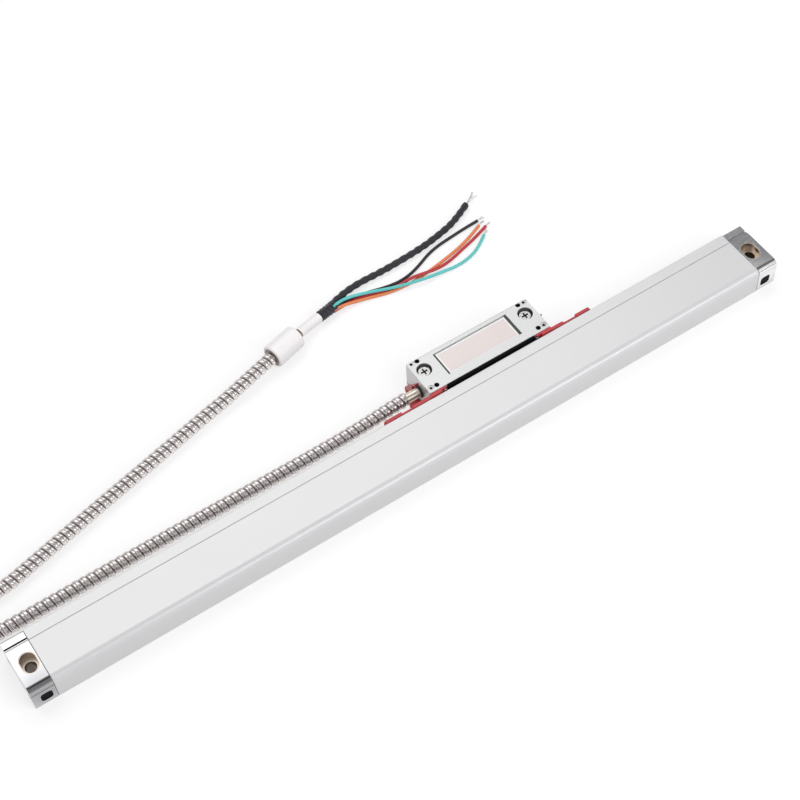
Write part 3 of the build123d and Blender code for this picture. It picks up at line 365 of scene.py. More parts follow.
class Finishes:
    """Builds each finish's material once, and hands it out by name."""

    fine_detail: float = 4.0
    broad_detail: float = 3.0
    broad_scale: float = 38.0
    noise_middle: tuple[float, float] = (0.25, 0.75)
    least_roughness: float = 0.02

    def __init__(self) -> None:
        """Starts with no material made."""
        self._made: dict[str, bpy.types.Material] = {}

    def material(self, finish: Finish) -> bpy.types.Material:
        """Gives the material of a finish.

        Args:
            finish: the look that is wanted.
        Returns:
            The material, made at its first use.
        """
        if finish.name not in self._made:
            self._made[finish.name] = self._build(finish)
        return self._made[finish.name]

    def _build(self, finish: Finish) -> bpy.types.Material:
        """Makes a material: fine and broad noise in object coordinates drive its tint, gloss and relief.

        Args:
            finish: the look that is wanted.
        Returns:
            The new material.
        """
        material = bpy.data.materials.new(finish.name)
        material.use_nodes = True
        graph = Graph(material.node_tree)
        inputs = graph.nodes["Principled BSDF"].inputs
        inputs["Metallic"].default_value = finish.metallic
        inputs["Coat Weight"].default_value = finish.coat
        inputs["Coat Roughness"].default_value = finish.coat_roughness
        inputs["Transmission Weight"].default_value = finish.transmission
        inputs["Specular IOR Level"].default_value = finish.gloss
        place = graph.nodes.new("ShaderNodeTexCoord").outputs["Object"]
        stretch = graph.nodes.new("ShaderNodeMapping")
        stretch.inputs["Scale"].default_value = GRAIN_STRETCH[finish.grain]
        graph.feed(stretch.inputs["Vector"], place)
        fine = graph.noise(stretch.outputs["Vector"], finish.grain_scale, self.fine_detail)
        broad = graph.noise(place, self.broad_scale, self.broad_detail)
        blend = graph.number("MULTIPLY_ADD", fine, 0.5, graph.number("MULTIPLY", broad, 0.5))
        graph.feed(inputs["Base Color"], self._colour(graph, finish, place, blend))
        smoothest = max(self.least_roughness, finish.roughness - finish.gloss_spread)
        roughest = min(1.0, finish.roughness + finish.gloss_spread)
        graph.feed(inputs["Roughness"], graph.ranged(blend, self.noise_middle, (smoothest, roughest)))
        bump = graph.nodes.new("ShaderNodeBump")
        bump.inputs["Distance"].default_value = finish.relief
        bump.inputs["Strength"].default_value = 1.0
        graph.feed(bump.inputs["Height"], fine)
        graph.feed(inputs["Normal"], bump.outputs["Normal"])
        return material

    def _colour(self, graph: Graph, finish: Finish, place: bpy.types.NodeSocket,
                blend: bpy.types.NodeSocket) -> bpy.types.NodeSocket:
        """Makes the colour: the noise tints it, then painted light spots, painted shade in holes and grooves,
        and a border go over it.

        Args:
            graph: the material's node tree.
            finish: the look that is wanted.
            place: the object coordinates.
            blend: the noise that drives the tint.
        Returns:
            The colour.
        """
        colour = graph.mixed(blend, finish.tinted(-finish.tint_spread), finish.tinted(finish.tint_spread))
        # Painted shadows and reflections, each faded out round its point
        for painted_spot in finish.painted_spots:
            distance = graph.measured("DISTANCE", place, painted_spot.centre)
            fade = (painted_spot.radius, painted_spot.radius * painted_spot.full_share)
            inside = graph.ranged(distance, fade, (0.0, 1.0), smooth=True)
            colour = graph.mixed(inside, colour, (*painted_spot.colour, 1.0))
        if finish.shade_attribute:
            # Painted shade, as much as the attribute says
            groove = graph.nodes.new("ShaderNodeAttribute")
            groove.attribute_name = finish.shade_attribute
            colour = graph.mixed(groove.outputs["Fac"], colour, (*finish.shade_colour, 1.0))
        if finish.border:
            colour = self._bordered(graph, finish.border, place, colour)
        return colour

    def _bordered(self, graph: Graph, border: PlateBorder, place: bpy.types.NodeSocket,
                  colour: bpy.types.NodeSocket) -> bpy.types.NodeSocket:
        """Colours a plate's rim by how far each point lies from the plate's middle along x and along y.

        Args:
            graph: the material's node tree.
            border: the rim's sizes and colours.
            place: the object coordinates.
            colour: the colour of the plate's middle.
        Returns:
            The colour of the whole plate.
        """
        parts = graph.nodes.new("ShaderNodeSeparateXYZ")
        graph.feed(parts.inputs["Vector"], place)
        rules = (
            (0, border.rim_width, border.rim_colour),
            (1, border.rim_height, border.rim_colour),
            (0, border.dark_width, border.dark_colour),
        )
        for axis, width, tone in rules:
            offset = graph.number("SUBTRACT", parts.outputs[axis], border.middle[axis])
            distance = graph.number("ABSOLUTE", offset)
            outside = graph.number("GREATER_THAN", distance, border.half[axis] - width)
            colour = graph.mixed(outside, colour, (*tone, 1.0))
        return colour


# The painted reflection on a cap's rounded front edge: how far its middle lies before and below the case's
# top front edge, how far it reaches, and within which share of that it has faded in fully
CAP_REFLECTION_OFFSET = 0.0030
CAP_REFLECTION_R = 0.0240
CAP_REFLECTION_FULL = 0.25


def direction(start: Point, end: Point) -> np.ndarray:
    """Gives the unit vector from one point to another."""
    step = np.array(end) - np.array(start)
    return step / np.linalg.norm(step)


def cap_painted_reflection(liner: str, colour: Point) -> PaintedLightSpot:
    """Gives the painted reflection round the front edge of a liner's end cap, in the tone of the room on its
    own side.
    """
    centre = (Box.of_node(liner).middle[0], CASE.low[1] - CAP_REFLECTION_OFFSET, CASE.high[2] - CAP_REFLECTION_OFFSET)
    return PaintedLightSpot(centre, radius=CAP_REFLECTION_R, colour=colour, full_share=CAP_REFLECTION_FULL)


def insulation(name: str, colour: Point) -> Finish:
    """Gives the finish of a wire's coloured insulation, whose slot has the same name."""
    return Finish(name, colour, roughness=0.34, grain_scale=1500.0, tint_spread=0.08, coat=0.25, slot=name)


# How the fitting at the hose's end lies, for the shadow at its two mouths
FITTING_LENGTH = 0.0232
FITTING_BACK = HOSE_BACK_POINTS[-1]
FITTING_AXIS = direction(HOSE_BACK_POINTS[-2], FITTING_BACK)
FITTING_FRONT = tuple(np.array(FITTING_BACK) + FITTING_AXIS * FITTING_LENGTH)

# The finishes of the case and its caps
# The case's shade colour is painted shade in the groove along its top
ANODISED = Finish("case_anodised", (0.755, 0.752, 0.752), metallic=0.30, roughness=0.40,
                  grain=Grain.BRUSHED_X, grain_scale=1600.0, relief=0.000002, tint_spread=0.015,
                  gloss_spread=0.04, slot="case_extrusion", shade_attribute="shade",
                  shade_colour=(0.60, 0.595, 0.595))
# The caps' painted reflection spots darken the left cap's front edge and lighten the right cap's
CAP_METAL = Finish("cap_bright", (0.60, 0.60, 0.61), metallic=1.0, roughness=0.19, grain=Grain.MILLED_X,
                   grain_scale=1150.0, relief=0.0000015, tint_spread=0.30, slot="cap_metal",
                   shade_attribute="shade", shade_colour=(0.155, 0.125, 0.100),
                   painted_spots=(cap_painted_reflection("mount_liner_left", (0.40, 0.40, 0.415)),
                          cap_painted_reflection("mount_liner_right", (0.86, 0.86, 0.87))))
LINER = Finish("liner_brass", (0.62, 0.535, 0.455), metallic=1.0, roughness=0.34, grain_scale=1800.0,
               tint_spread=0.2, gloss_spread=0.12, slot="liner_brass")
GASKET = Finish("gasket_grey", (0.40, 0.395, 0.40), roughness=0.62, grain_scale=2400.0, tint_spread=0.05,
                gloss_spread=0.1, slot="black_rubber")
RUBBER = Finish("black_rubber", (0.022, 0.022, 0.024), roughness=0.62, grain_scale=2400.0, tint_spread=0.2,
                gloss_spread=0.1, slot="black_rubber")
BLACK_PLASTIC = Finish("black_plastic", (0.0055, 0.0055, 0.0065), roughness=0.66, grain_scale=3000.0,
                       relief=0.000008, tint_spread=0.4, gloss_spread=0.1, gloss=0.10, slot="black_plastic")

# The finishes of the screws, the reader and what it carries
STEEL = Finish("screw_steel", (0.34, 0.33, 0.325), metallic=1.0, roughness=0.30, grain_scale=2600.0,
               relief=0.000006, tint_spread=0.12, gloss_spread=0.1, slot="steel", shade_attribute="shade",
               shade_colour=(0.020, 0.018, 0.017))
# The bolts' shade colour is painted shade in their cross recesses
BOLT_STEEL = Finish("bolt_steel", (0.53, 0.525, 0.52), metallic=1.0, roughness=0.22, grain_scale=1300.0,
                    relief=0.00018, tint_spread=0.45, gloss_spread=0.12, slot="steel",
                    shade_attribute="shade", shade_colour=(0.045, 0.043, 0.041))
# The reader's shade colour is painted shade in the housing's holes and on the label recess's end wall
READER_METAL = Finish("reader_satin", (0.655, 0.66, 0.655), metallic=0.45, roughness=0.32,
                      grain_scale=2600.0, relief=0.000003, tint_spread=0.03, gloss_spread=0.05,
                      slot="reader_metal", shade_attribute="shade", shade_colour=(0.045, 0.045, 0.045))
BARE_PLATE = Finish("bare_plate", (0.745, 0.670, 0.645), metallic=0.30, roughness=0.36,
                    grain=Grain.BRUSHED_X, grain_scale=1400.0, relief=0.000004, tint_spread=0.04,
                    gloss_spread=0.06, slot="bare_plate",
                    border=PlateBorder(tuple(PLATE.middle), tuple(PLATE.half)))
BRACKET_RED = Finish("bracket_red", (0.50, 0.034, 0.044), roughness=0.40, grain_scale=2200.0,
                     tint_spread=0.10, coat=0.2, slot="red_bracket")
BOARD = Finish("board_mask", (0.04, 0.22, 0.10), roughness=0.35, grain_scale=700.0, tint_spread=0.25,
               gloss_spread=0.1, slot="board")
CARRIAGE = Finish("carriage_machined", (0.66, 0.66, 0.67), metallic=0.9, roughness=0.32,
                  grain=Grain.BRUSHED_X, grain_scale=1800.0, relief=0.000006, slot="carriage_metal")
GLASS = Finish("clear_glass", (0.86, 0.95, 0.92), roughness=0.04, grain_scale=300.0, relief=0.0,
               tint_spread=0.02, gloss_spread=0.02, transmission=0.9, slot="glass")

# The finishes of the cable, its end and its wires
FERRULE = Finish("ferrule_pale", (0.86, 0.79, 0.67), metallic=0.7, roughness=0.28, grain=Grain.BRUSHED_X,
                 grain_scale=1500.0, relief=0.000005, gloss_spread=0.06, slot="ferrule_metal")
# The hose's shade colour is painted shade in the grooves and seams of its wound strip
HOSE = Finish("hose_steel", (0.84, 0.79, 0.77), metallic=0.82, roughness=0.24, grain_scale=1800.0,
              relief=0.000003, tint_spread=0.10, slot="hose_steel", shade_attribute="groove",
              shade_colour=(0.060, 0.048, 0.044))
# The fitting's and the jacket's spots are painted shadow at the fitting's two mouths
FITTING = Finish("fitting_bright", (0.985, 0.955, 0.95), roughness=0.36, grain=Grain.BRUSHED_X,
                 grain_scale=1300.0, relief=0.000004, tint_spread=0.012, gloss_spread=0.05,
                 slot="fitting_metal", painted_spots=(PaintedLightSpot(FITTING_BACK, radius=0.0066, colour=(0.30, 0.24, 0.21)),))
JACKET = Finish("cable_jacket", (0.985, 0.955, 0.945), roughness=0.42, grain_scale=1500.0, tint_spread=0.012,
                slot="jacket", painted_spots=(PaintedLightSpot(FITTING_FRONT, radius=0.0041, colour=(0.21, 0.135, 0.10)),))
SLEEVE_BLACK = Finish("sleeve_black", (0.026, 0.024, 0.033), roughness=0.36, grain_scale=900.0,
                      relief=0.00012, tint_spread=0.5, gloss_spread=0.14, gloss=0.40, slot="black_rubber")
WIRE_BLACK = Finish("wire_black", (0.024, 0.0235, 0.031), roughness=0.40, grain_scale=1300.0, relief=0.00010,
                    tint_spread=0.4, gloss_spread=0.14, gloss=0.45, slot="wire_black")
WIRE_TURQUOISE = insulation("wire_turquoise", (0.12, 0.63, 0.60))
WIRE_ORANGE = insulation("wire_orange", (0.86, 0.25, 0.09))
WIRE_RED = insulation("wire_red", (0.56, 0.03, 0.04))
TINNED = Finish("tinned_strands", (0.80, 0.79, 0.77), metallic=0.6, roughness=0.3, grain_scale=2400.0,
                tint_spread=0.1, gloss_spread=0.1, slot="tinned_copper")
FLOOR = Finish("studio_floor", (0.42, 0.42, 0.42), roughness=0.8, grain_scale=40.0, relief=0.0,
               tint_spread=0.004, gloss_spread=0.02)


@dataclass(frozen=True)
class DarkSide:
    """A darker part of the room, round one direction."""

    towards: Point
    share: float
    inner_degrees: float
    outer_degrees: float


@dataclass(frozen=True)
class Softbox:
    """An oblong area light that faces the middle of the object."""

    name: str
    place: Point
    size: tuple[float, float]
    power: float
    colour: Point
    mirrored: bool

    def build(self) -> None:
        """Hangs the light, turned towards the origin. Bright surfaces show it only if it is mirrored."""
        light = bpy.data.lights.new(self.name, "AREA")
        light.shape = "RECTANGLE"
        light.size, light.size_y = self.size
        light.energy = self.power
        light.color = self.colour
        lamp = bpy.data.objects.new(self.name, light)
        lamp.location = self.place
        lamp.rotation_euler = (-Vector(self.place)).to_track_quat("-Z", "Y").to_euler()
        lamp.visible_glossy = self.mirrored
        bpy.context.collection.objects.link(lamp)
        log.info("lamp: %s", self.name)


# The room is darker where the right cap and the rounded edges mirror it
DARK_SIDES = (
    DarkSide(towards=(0.64, 0.40, 0.655), share=0.54, inner_degrees=12.0, outer_degrees=44.0),
    DarkSide(towards=(0.22, -0.28, 0.93), share=0.22, inner_degrees=9.0, outer_degrees=27.0),
)
SOFTBOXES = (
    Softbox("back_softbox", place=(-0.02, 0.80, 1.40), size=(2.05, 0.95), power=8.6, colour=(1.0, 1.0, 1.0),
            mirrored=True),
    Softbox("front_strip", place=(0.52, -1.20, 0.72), size=(1.1, 0.5), power=4.2, colour=(0.97, 0.97, 1.0),
            mirrored=True),
    Softbox("front_fill", place=(0.35, -0.85, 1.35), size=(1.0, 1.0), power=7.4, colour=(0.97, 0.97, 1.0),
            mirrored=False),
)


@dataclass
class Studio:
    """The white floor, the softboxes and the room round the object."""

    finishes: Finishes
    floor_half: float = 60.0
    floor_white: float = 0.62
    world_strength: float = 0.56
    world_colour: Point = (0.99, 0.985, 1.0)

    def build(self) -> None:
        """Makes the floor, the room and the lamps."""
        self._floor()
        self._world()
        for softbox in SOFTBOXES:
            softbox.build()

    def _floor(self) -> None:
        """Lays the floor, which is white to the camera and in reflections, and still takes the shadow."""
        h = self.floor_half
        mesh = bpy.data.meshes.new("studio_floor")
        mesh.from_pydata([(-h, -h, 0), (h, -h, 0), (h, h, 0), (-h, h, 0)], [], [(0, 1, 2, 3)])
        floor = bpy.data.objects.new("studio_floor", mesh)
        bpy.context.collection.objects.link(floor)
        material = self.finishes.material(FLOOR)
        graph = Graph(material.node_tree)
        path = graph.nodes.new("ShaderNodeLightPath").outputs
        seen = graph.number("MAXIMUM", path["Is Camera Ray"], path["Is Glossy Ray"])
        seen = graph.number("MAXIMUM", seen, path["Is Transmission Ray"])
        inputs = graph.nodes["Principled BSDF"].inputs
        inputs["Emission Color"].default_value = (1.0, 1.0, 1.0, 1.0)
        graph.feed(inputs["Emission Strength"], graph.number("MULTIPLY", seen, self.floor_white))
        mesh.materials.append(material)
        log.info("studio floor: %.0f m wide", 2 * h)

    def _world(self) -> None:
        """Makes an even room whose strength falls smoothly round each dark side's direction."""
        world = bpy.data.worlds.new("studio_world")
        world.use_nodes = True
        graph = Graph(world.node_tree)
        background = graph.nodes["Background"]
        background.inputs["Color"].default_value = (*self.world_colour, 1.0)
        place = graph.nodes.new("ShaderNodeTexCoord").outputs["Generated"]
        strength: Source = self.world_strength
        for side in DARK_SIDES:
            closeness = graph.measured("DOT_PRODUCT", place, tuple(Vector(side.towards).normalized()))
            edge = math.cos(math.radians(side.outer_degrees))
            core = math.cos(math.radians(side.inner_degrees))
            fall = graph.ranged(closeness, (edge, core), (1.0, side.share), smooth=True)
            strength = graph.number("MULTIPLY", fall, strength)
        graph.feed(background.inputs["Strength"], strength)
        bpy.context.scene.world = world
        log.info("studio world: %d dark sides", len(DARK_SIDES))


@dataclass
class PhotoCamera:
    """The camera of the photograph, solved from the case's corners."""

    place: Point = (-0.30596, -0.51189, 0.89077)
    forward: Point = (0.29573, 0.49407, -0.81758)
    roll_degrees: float = -3.198
    focal_pixels: float = 1722.07
    frame_pixels: float = 800.0
    sensor_mm: float = 36.0
    nearest: float = 0.02

    def build(self) -> None:
        """Makes the camera: its level axes, turned about the view's direction by the roll."""
        data = bpy.data.cameras.new("photo_camera")
        data.sensor_width = self.sensor_mm
        data.lens = self.sensor_mm * self.focal_pixels / self.frame_pixels
        data.clip_start = self.nearest
        camera = bpy.data.objects.new("photo_camera", data)
        forward = Vector(self.forward).normalized()
        level_right = forward.cross(Vector((0.0, 0.0, 1.0))).normalized()
        level_up = level_right.cross(forward)
        roll = math.radians(self.roll_degrees)
        right = level_right * math.cos(roll) + level_up * math.sin(roll)
        up = right.cross(forward)
        turn = Matrix((right, up, -forward)).transposed().to_4x4()
        camera.matrix_world = Matrix.Translation(self.place) @ turn
        bpy.context.collection.objects.link(camera)
        bpy.context.scene.camera = camera
        log.info("camera: lens %.2f mm", data.lens)


def dress(piece: bpy.types.Object, finish: Finish, finishes: Finishes) -> None:
    """Gives a piece its finish's material.

    Args:
        piece: the object to dress.
        finish: its look.
        finishes: the shop that holds the materials.
    """
    piece.data.materials.clear()
    piece.data.materials.append(finishes.material(finish))


def mesh_object(name: str, verts: np.ndarray, quads: np.ndarray) -> bpy.types.Object:
    """Makes a smoothly shaded mesh object from arrays.

    Args:
        name: the object's name.
        verts: corner positions, one row each.
        quads: corner numbers, four to a row.
    Returns:
        The new object, linked to the scene.
    """
    mesh = bpy.data.meshes.new(name)
    mesh.vertices.add(len(verts))
    mesh.vertices.foreach_set("co", verts.astype(np.float32).ravel())
    mesh.loops.add(quads.size)
    mesh.loops.foreach_set("vertex_index", quads.astype(np.int32).ravel())
    mesh.polygons.add(len(quads))
    mesh.polygons.foreach_set("loop_start", np.arange(0, quads.size, 4, dtype=np.int32))
    mesh.polygons.foreach_set("use_smooth", np.full(len(quads), True))
    mesh.update(calc_edges=True)
    mesh.validate()
    piece = bpy.data.objects.new(name, mesh)
    bpy.context.collection.objects.link(piece)
    return piece


def close_ends(piece: bpy.types.Object) -> None:
    """Fills the open ends of a tube, and turns all its faces outwards.

    Args:
        piece: the tube.
    """
    shape = bmesh.new()
    shape.from_mesh(piece.data)
    rim = [edge for edge in shape.edges if edge.is_boundary]
    bmesh.ops.holes_fill(shape, edges=rim, sides=len(rim))
    bmesh.ops.recalc_face_normals(shape, faces=shape.faces)
    shape.to_mesh(piece.data)
    shape.free()


def nurbs_curve(name: str, points: list[Point], resolution: int) -> bpy.types.Object:
    """Makes a curve object of one open NURBS spline of order 3, which starts and ends at its end points.

    Args:
        name: the object's name.
        points: the control points.
        resolution: straight steps from one control point to the next.
    Returns:
        The new object, linked to the scene.
    """
    curve = bpy.data.curves.new(name, "CURVE")
    curve.dimensions = "3D"
    spline = curve.splines.new("NURBS")
    spline.points.add(len(points) - 1)
    for control, point in zip(spline.points, points):
        control.co = (*point, 1.0)
    spline.order_u = 3
    spline.use_endpoint_u = True
    spline.resolution_u = resolution
    piece = bpy.data.objects.new(name, curve)
    bpy.context.collection.objects.link(piece)
    return piece


# Points nearer than this are one point
SAME_POINT = 1e-9


def spline_samples(points: list[Point], spacing: float, resolution: int = 24) -> np.ndarray:
    """Reads evenly spaced points from the NURBS spline of a route.

    The spline is made a fine polyline, and the samples lie at equal shares of its length.

    Args:
        points: the route's control points.
        spacing: how far apart the samples are, about.
        resolution: straight steps of the polyline from one control point to the next.
    Returns:
        The samples, one row each.
    """
    guide = nurbs_curve("guide", points, resolution)
    bpy.context.view_layer.update()
    line = bpy.data.meshes.new_from_object(guide)
    raw = np.array([vertex.co for vertex in line.vertices])
    curve = guide.data
    bpy.data.objects.remove(guide)
    bpy.data.curves.remove(curve)
    bpy.data.meshes.remove(line)
    steps = np.linalg.norm(np.diff(raw, axis=0), axis=1)
    along = np.concatenate([[0.0], np.cumsum(steps)])
    keep = np.concatenate([[True], steps > SAME_POINT])
    count = max(4, int(round(along[-1] / spacing)))
    wanted = np.linspace(0.0, along[-1], count + 1)
    return np.stack([np.interp(wanted, along[keep], raw[keep, axis]) for axis in range(3)], axis=1)


def distances_along(path: np.ndarray) -> np.ndarray:
    """Gives how far along the path each of its evenly spaced points lies."""
    return np.arange(len(path)) * np.linalg.norm(path[1] - path[0])


def ring_angles(around: int) -> np.ndarray:
    """Gives the angles of evenly spaced corners round one ring, in radians."""
    return np.linspace(0.0, 2.0 * np.pi, around, endpoint=False)


def carried_frame(path: np.ndarray) -> tuple[np.ndarray, np.ndarray]:
    """Carries two directions across the path from its first point to its last, without twist.

    Each sideways direction is the one before it, less its part along the path there.

    Args:
        path: the centreline's points.
    Returns:
        The sideways and the upward direction at each point.
    """
    heading = np.gradient(path, axis=0)
    heading /= np.linalg.norm(heading, axis=1, keepdims=True)
    side = np.zeros_like(path)
    first = np.cross(heading[0], (0.0, 0.0, 1.0))
    side[0] = first / np.linalg.norm(first)
    for i in range(1, len(path)):
        carried = side[i - 1] - heading[i] * np.dot(side[i - 1], heading[i])
        side[i] = carried / np.linalg.norm(carried)
    return side, np.cross(heading, side)


def tube_arrays(path: np.ndarray, radii: np.ndarray) -> tuple[np.ndarray, np.ndarray]:
    """Wraps rings of corners round a path, without twist.

    A corner lies at its radius from the path, along side times cosine plus upward times sine of its angle.

    Args:
        path: the centreline's points.
        radii: a row for each ring, with one radius for each corner round it.
    Returns:
        The corners and the quads between them.
    """
    around = radii.shape[1]
    side, other = carried_frame(path)
    angle = ring_angles(around)
    ring = side[:, None, :] * np.cos(angle)[None, :, None] + other[:, None, :] * np.sin(angle)[None, :, None]
    verts = (path[:, None, :] + ring * radii[:, :, None]).reshape(-1, 3)
    rows = np.arange(len(path) - 1)[:, None] * around
    near = rows + np.arange(around)[None, :]
    far = rows + (np.arange(around)[None, :] + 1) % around
    quads = np.stack([near, far, far + around, near + around], axis=-1)
    return verts, quads.reshape(-1, 4)


@dataclass(frozen=True)
class CableCoil:
    """The round coil of two layers that the hose's unseen length is wound into."""

    middle: tuple[float, float] = (-0.3882, 0.0864)
    low_z: float = 0.0059
    high_z: float = 0.0155
    outer_r: float = 0.0674
    inner_r: float = 0.0386
    turns_per_layer: float = 3.0
    climb_turns: float = 0.694
    climb_dip: float = 0.0035
    points_per_turn: int = 16

    def points(self) -> list[Point]:
        """Works out the turns: inwards on the table, up at the middle, and outwards again on top.

        The radius falls and grows evenly with the turn. On the climb it dips by a half sine, while the height
        grows evenly. All radii are spread a little, because the spline runs inside its control points.

        Returns:
            The coil's control points.
        """
        total = 2.0 * self.turns_per_layer + self.climb_turns
        count = int(round(total * self.points_per_turn))
        spread = 1.0 / math.cos(math.pi / self.points_per_turn)
        pitch = (self.outer_r - self.inner_r) / self.turns_per_layer
        climb_end = self.turns_per_layer + self.climb_turns
        turn = total * np.arange(1, count) / count
        climbed = (turn - self.turns_per_layer) / self.climb_turns
        stages = [turn < self.turns_per_layer, turn < climb_end]
        inwards = self.outer_r - pitch * turn
        climbing = self.inner_r - self.climb_dip * np.sin(math.pi * climbed)
        radius = np.select(stages, [inwards, climbing], self.inner_r + pitch * (turn - climb_end))
        rising = self.low_z + (self.high_z - self.low_z) * climbed
        z = np.select(stages, [np.full(len(turn), self.low_z), rising], self.high_z)
        angle = -math.pi / 2 - 2.0 * math.pi * turn
        x = self.middle[0] + radius * spread * np.cos(angle)
        y = self.middle[1] + radius * spread * np.sin(angle)
        return [tuple(point) for point in np.column_stack([x, y, z]).tolist()]


@dataclass(frozen=True)
class StripStation:
    """One corner of the strip's section: its place along the pitch, its drop under the crest, and how much
    painted shade it takes.
    """

    phase: float
    under_crest: float
    depth: float


# Each station's depth is the share of painted shade that its helix takes
STRIP_SECTION = (
    StripStation(phase=0.000, under_crest=0.00125, depth=1.00),
    StripStation(phase=0.085, under_crest=0.00105, depth=0.85),
    StripStation(phase=0.150, under_crest=0.00032, depth=0.10),
    StripStation(phase=0.270, under_crest=0.00004, depth=0.00),
    StripStation(phase=0.440, under_crest=0.00000, depth=0.00),
    StripStation(phase=0.600, under_crest=0.00020, depth=0.05),
    StripStation(phase=0.655, under_crest=0.00058, depth=0.80),
    StripStation(phase=0.710, under_crest=0.00044, depth=0.00),
    StripStation(phase=0.930, under_crest=0.00062, depth=0.15),
)


@dataclass
class ArmouredHose:
    """The interlocked steel hose, from the reader's ferrule through its coil to the end fitting."""

    finishes: Finishes
    end_pieces: tuple[bpy.types.Object, ...]
    coil: CableCoil = CableCoil()
    first_run: float = 0.0070
    pitch: float = 0.0049
    crest_r: float = HOSE_DIAMETER / 2
    core_r: float = 0.0030
    around: int = 18
    spacing: float = 0.0012
    report_every: int = 3

    def build(self) -> bpy.types.Object:
        """Returns:
            The hose.
        """
        route = self.route()
        path = spline_samples(route, self.spacing)
        verts, quads, depth = self.wound_arrays(path)
        piece = mesh_object("armoured_hose", verts, quads)
        # The painted shade in the strip's grooves, corner by corner
        groove = piece.data.attributes.new("groove", "FLOAT", "POINT")
        groove.data.foreach_set("value", depth.astype(np.float32))
        dress(piece, HOSE, self.finishes)
        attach(piece, READER_BODY)
        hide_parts("hose_out_run", "hose_coil", "hose_back_run")
        log.info("hose: %.3f m, %d faces", distances_along(path)[-1], len(quads))
        return piece

    def route(self) -> list[Point]:
        """Gives the hose's control points: out of the ferrule, round the coil, and back to the fitting.

        Returns:
            The control points.
        """
        exit_point = (FERRULE_BOX.low[0], FERRULE_BOX.middle[1], FERRULE_BOX.middle[2])
        straight = (exit_point[0] - self.first_run, exit_point[1], exit_point[2])
        return [exit_point, straight, *HOSE_OUT_POINTS, *self.coil.points(), *HOSE_BACK_POINTS]

    def wound_arrays(self, path: np.ndarray) -> tuple[np.ndarray, np.ndarray, np.ndarray]:
        """Winds the strip's section along a helix round the path.

        Corner (m, p) is at (m / around + phase p) pitches along the path and at m / around turns round it, so
        each station of the section follows its own helix, and the last one meets the next turn's first. Past
        the path's ends the corners sink to the core, so the hose ends flat at the ferrule and the fitting.

        Args:
            path: evenly spaced points of the centreline.
        Returns:
            The corners, the quads between them, and the share of painted shade at each corner.
        """
        phases = np.array([station.phase for station in STRIP_SECTION])
        drops = np.array([station.under_crest for station in STRIP_SECTION])
        depths = np.array([station.depth for station in STRIP_SECTION])
        side, other = carried_frame(path)
        along = distances_along(path)
        turns = int(math.ceil(along[-1] / self.pitch)) + 2
        m = np.arange(-self.around, turns * self.around)
        unbounded = (m[:, None] / self.around + phases[None, :]) * self.pitch
        inside = (unbounded >= 0.0) & (unbounded <= along[-1])
        s = np.clip(unbounded, 0.0, along[-1])
        angle = 2.0 * np.pi * m[:, None] / self.around
        radius = np.where(inside, self.crest_r - drops[None, :], self.core_r)
        verts = np.empty((*s.shape, 3))
        for axis in range(3):
            centre = np.interp(s, along, path[:, axis])
            across = np.interp(s, along, side[:, axis]) * np.cos(angle)
            upward = np.interp(s, along, other[:, axis]) * np.sin(angle)
            verts[..., axis] = centre + radius * (across + upward)
        quads = self.strip_quads(len(m), len(phases))
        quads = quads[inside.ravel()[quads].any(axis=1)]
        used, flat = np.unique(quads, return_inverse=True)
        depth = np.broadcast_to(depths, s.shape).ravel()[used]
        return verts.reshape(-1, 3)[used], flat.reshape(-1, 4), depth

    def strip_quads(self, rows: int, stations: int) -> np.ndarray:
        """Joins each corner to its neighbours along the section and round the helix.

        The station past a row's last one is the first station of the row one turn further on.

        Args:
            rows: how many rows of corners there are.
            stations: corners in a row.
        Returns:
            The corners' numbers, four to a row.
        """
        number = np.arange(rows * stations).reshape(rows, stations)
        last = rows - self.around - 1
        this, following = number[:last], number[1:last + 1]
        turn_on = number[self.around:self.around + last + 1, :1]
        beyond = np.concatenate([this[:, 1:], turn_on[:last]], axis=1)
        beyond_following = np.concatenate([following[:, 1:], turn_on[1:]], axis=1)
        return np.stack([this, following, beyond_following, beyond], axis=-1).reshape(-1, 4)


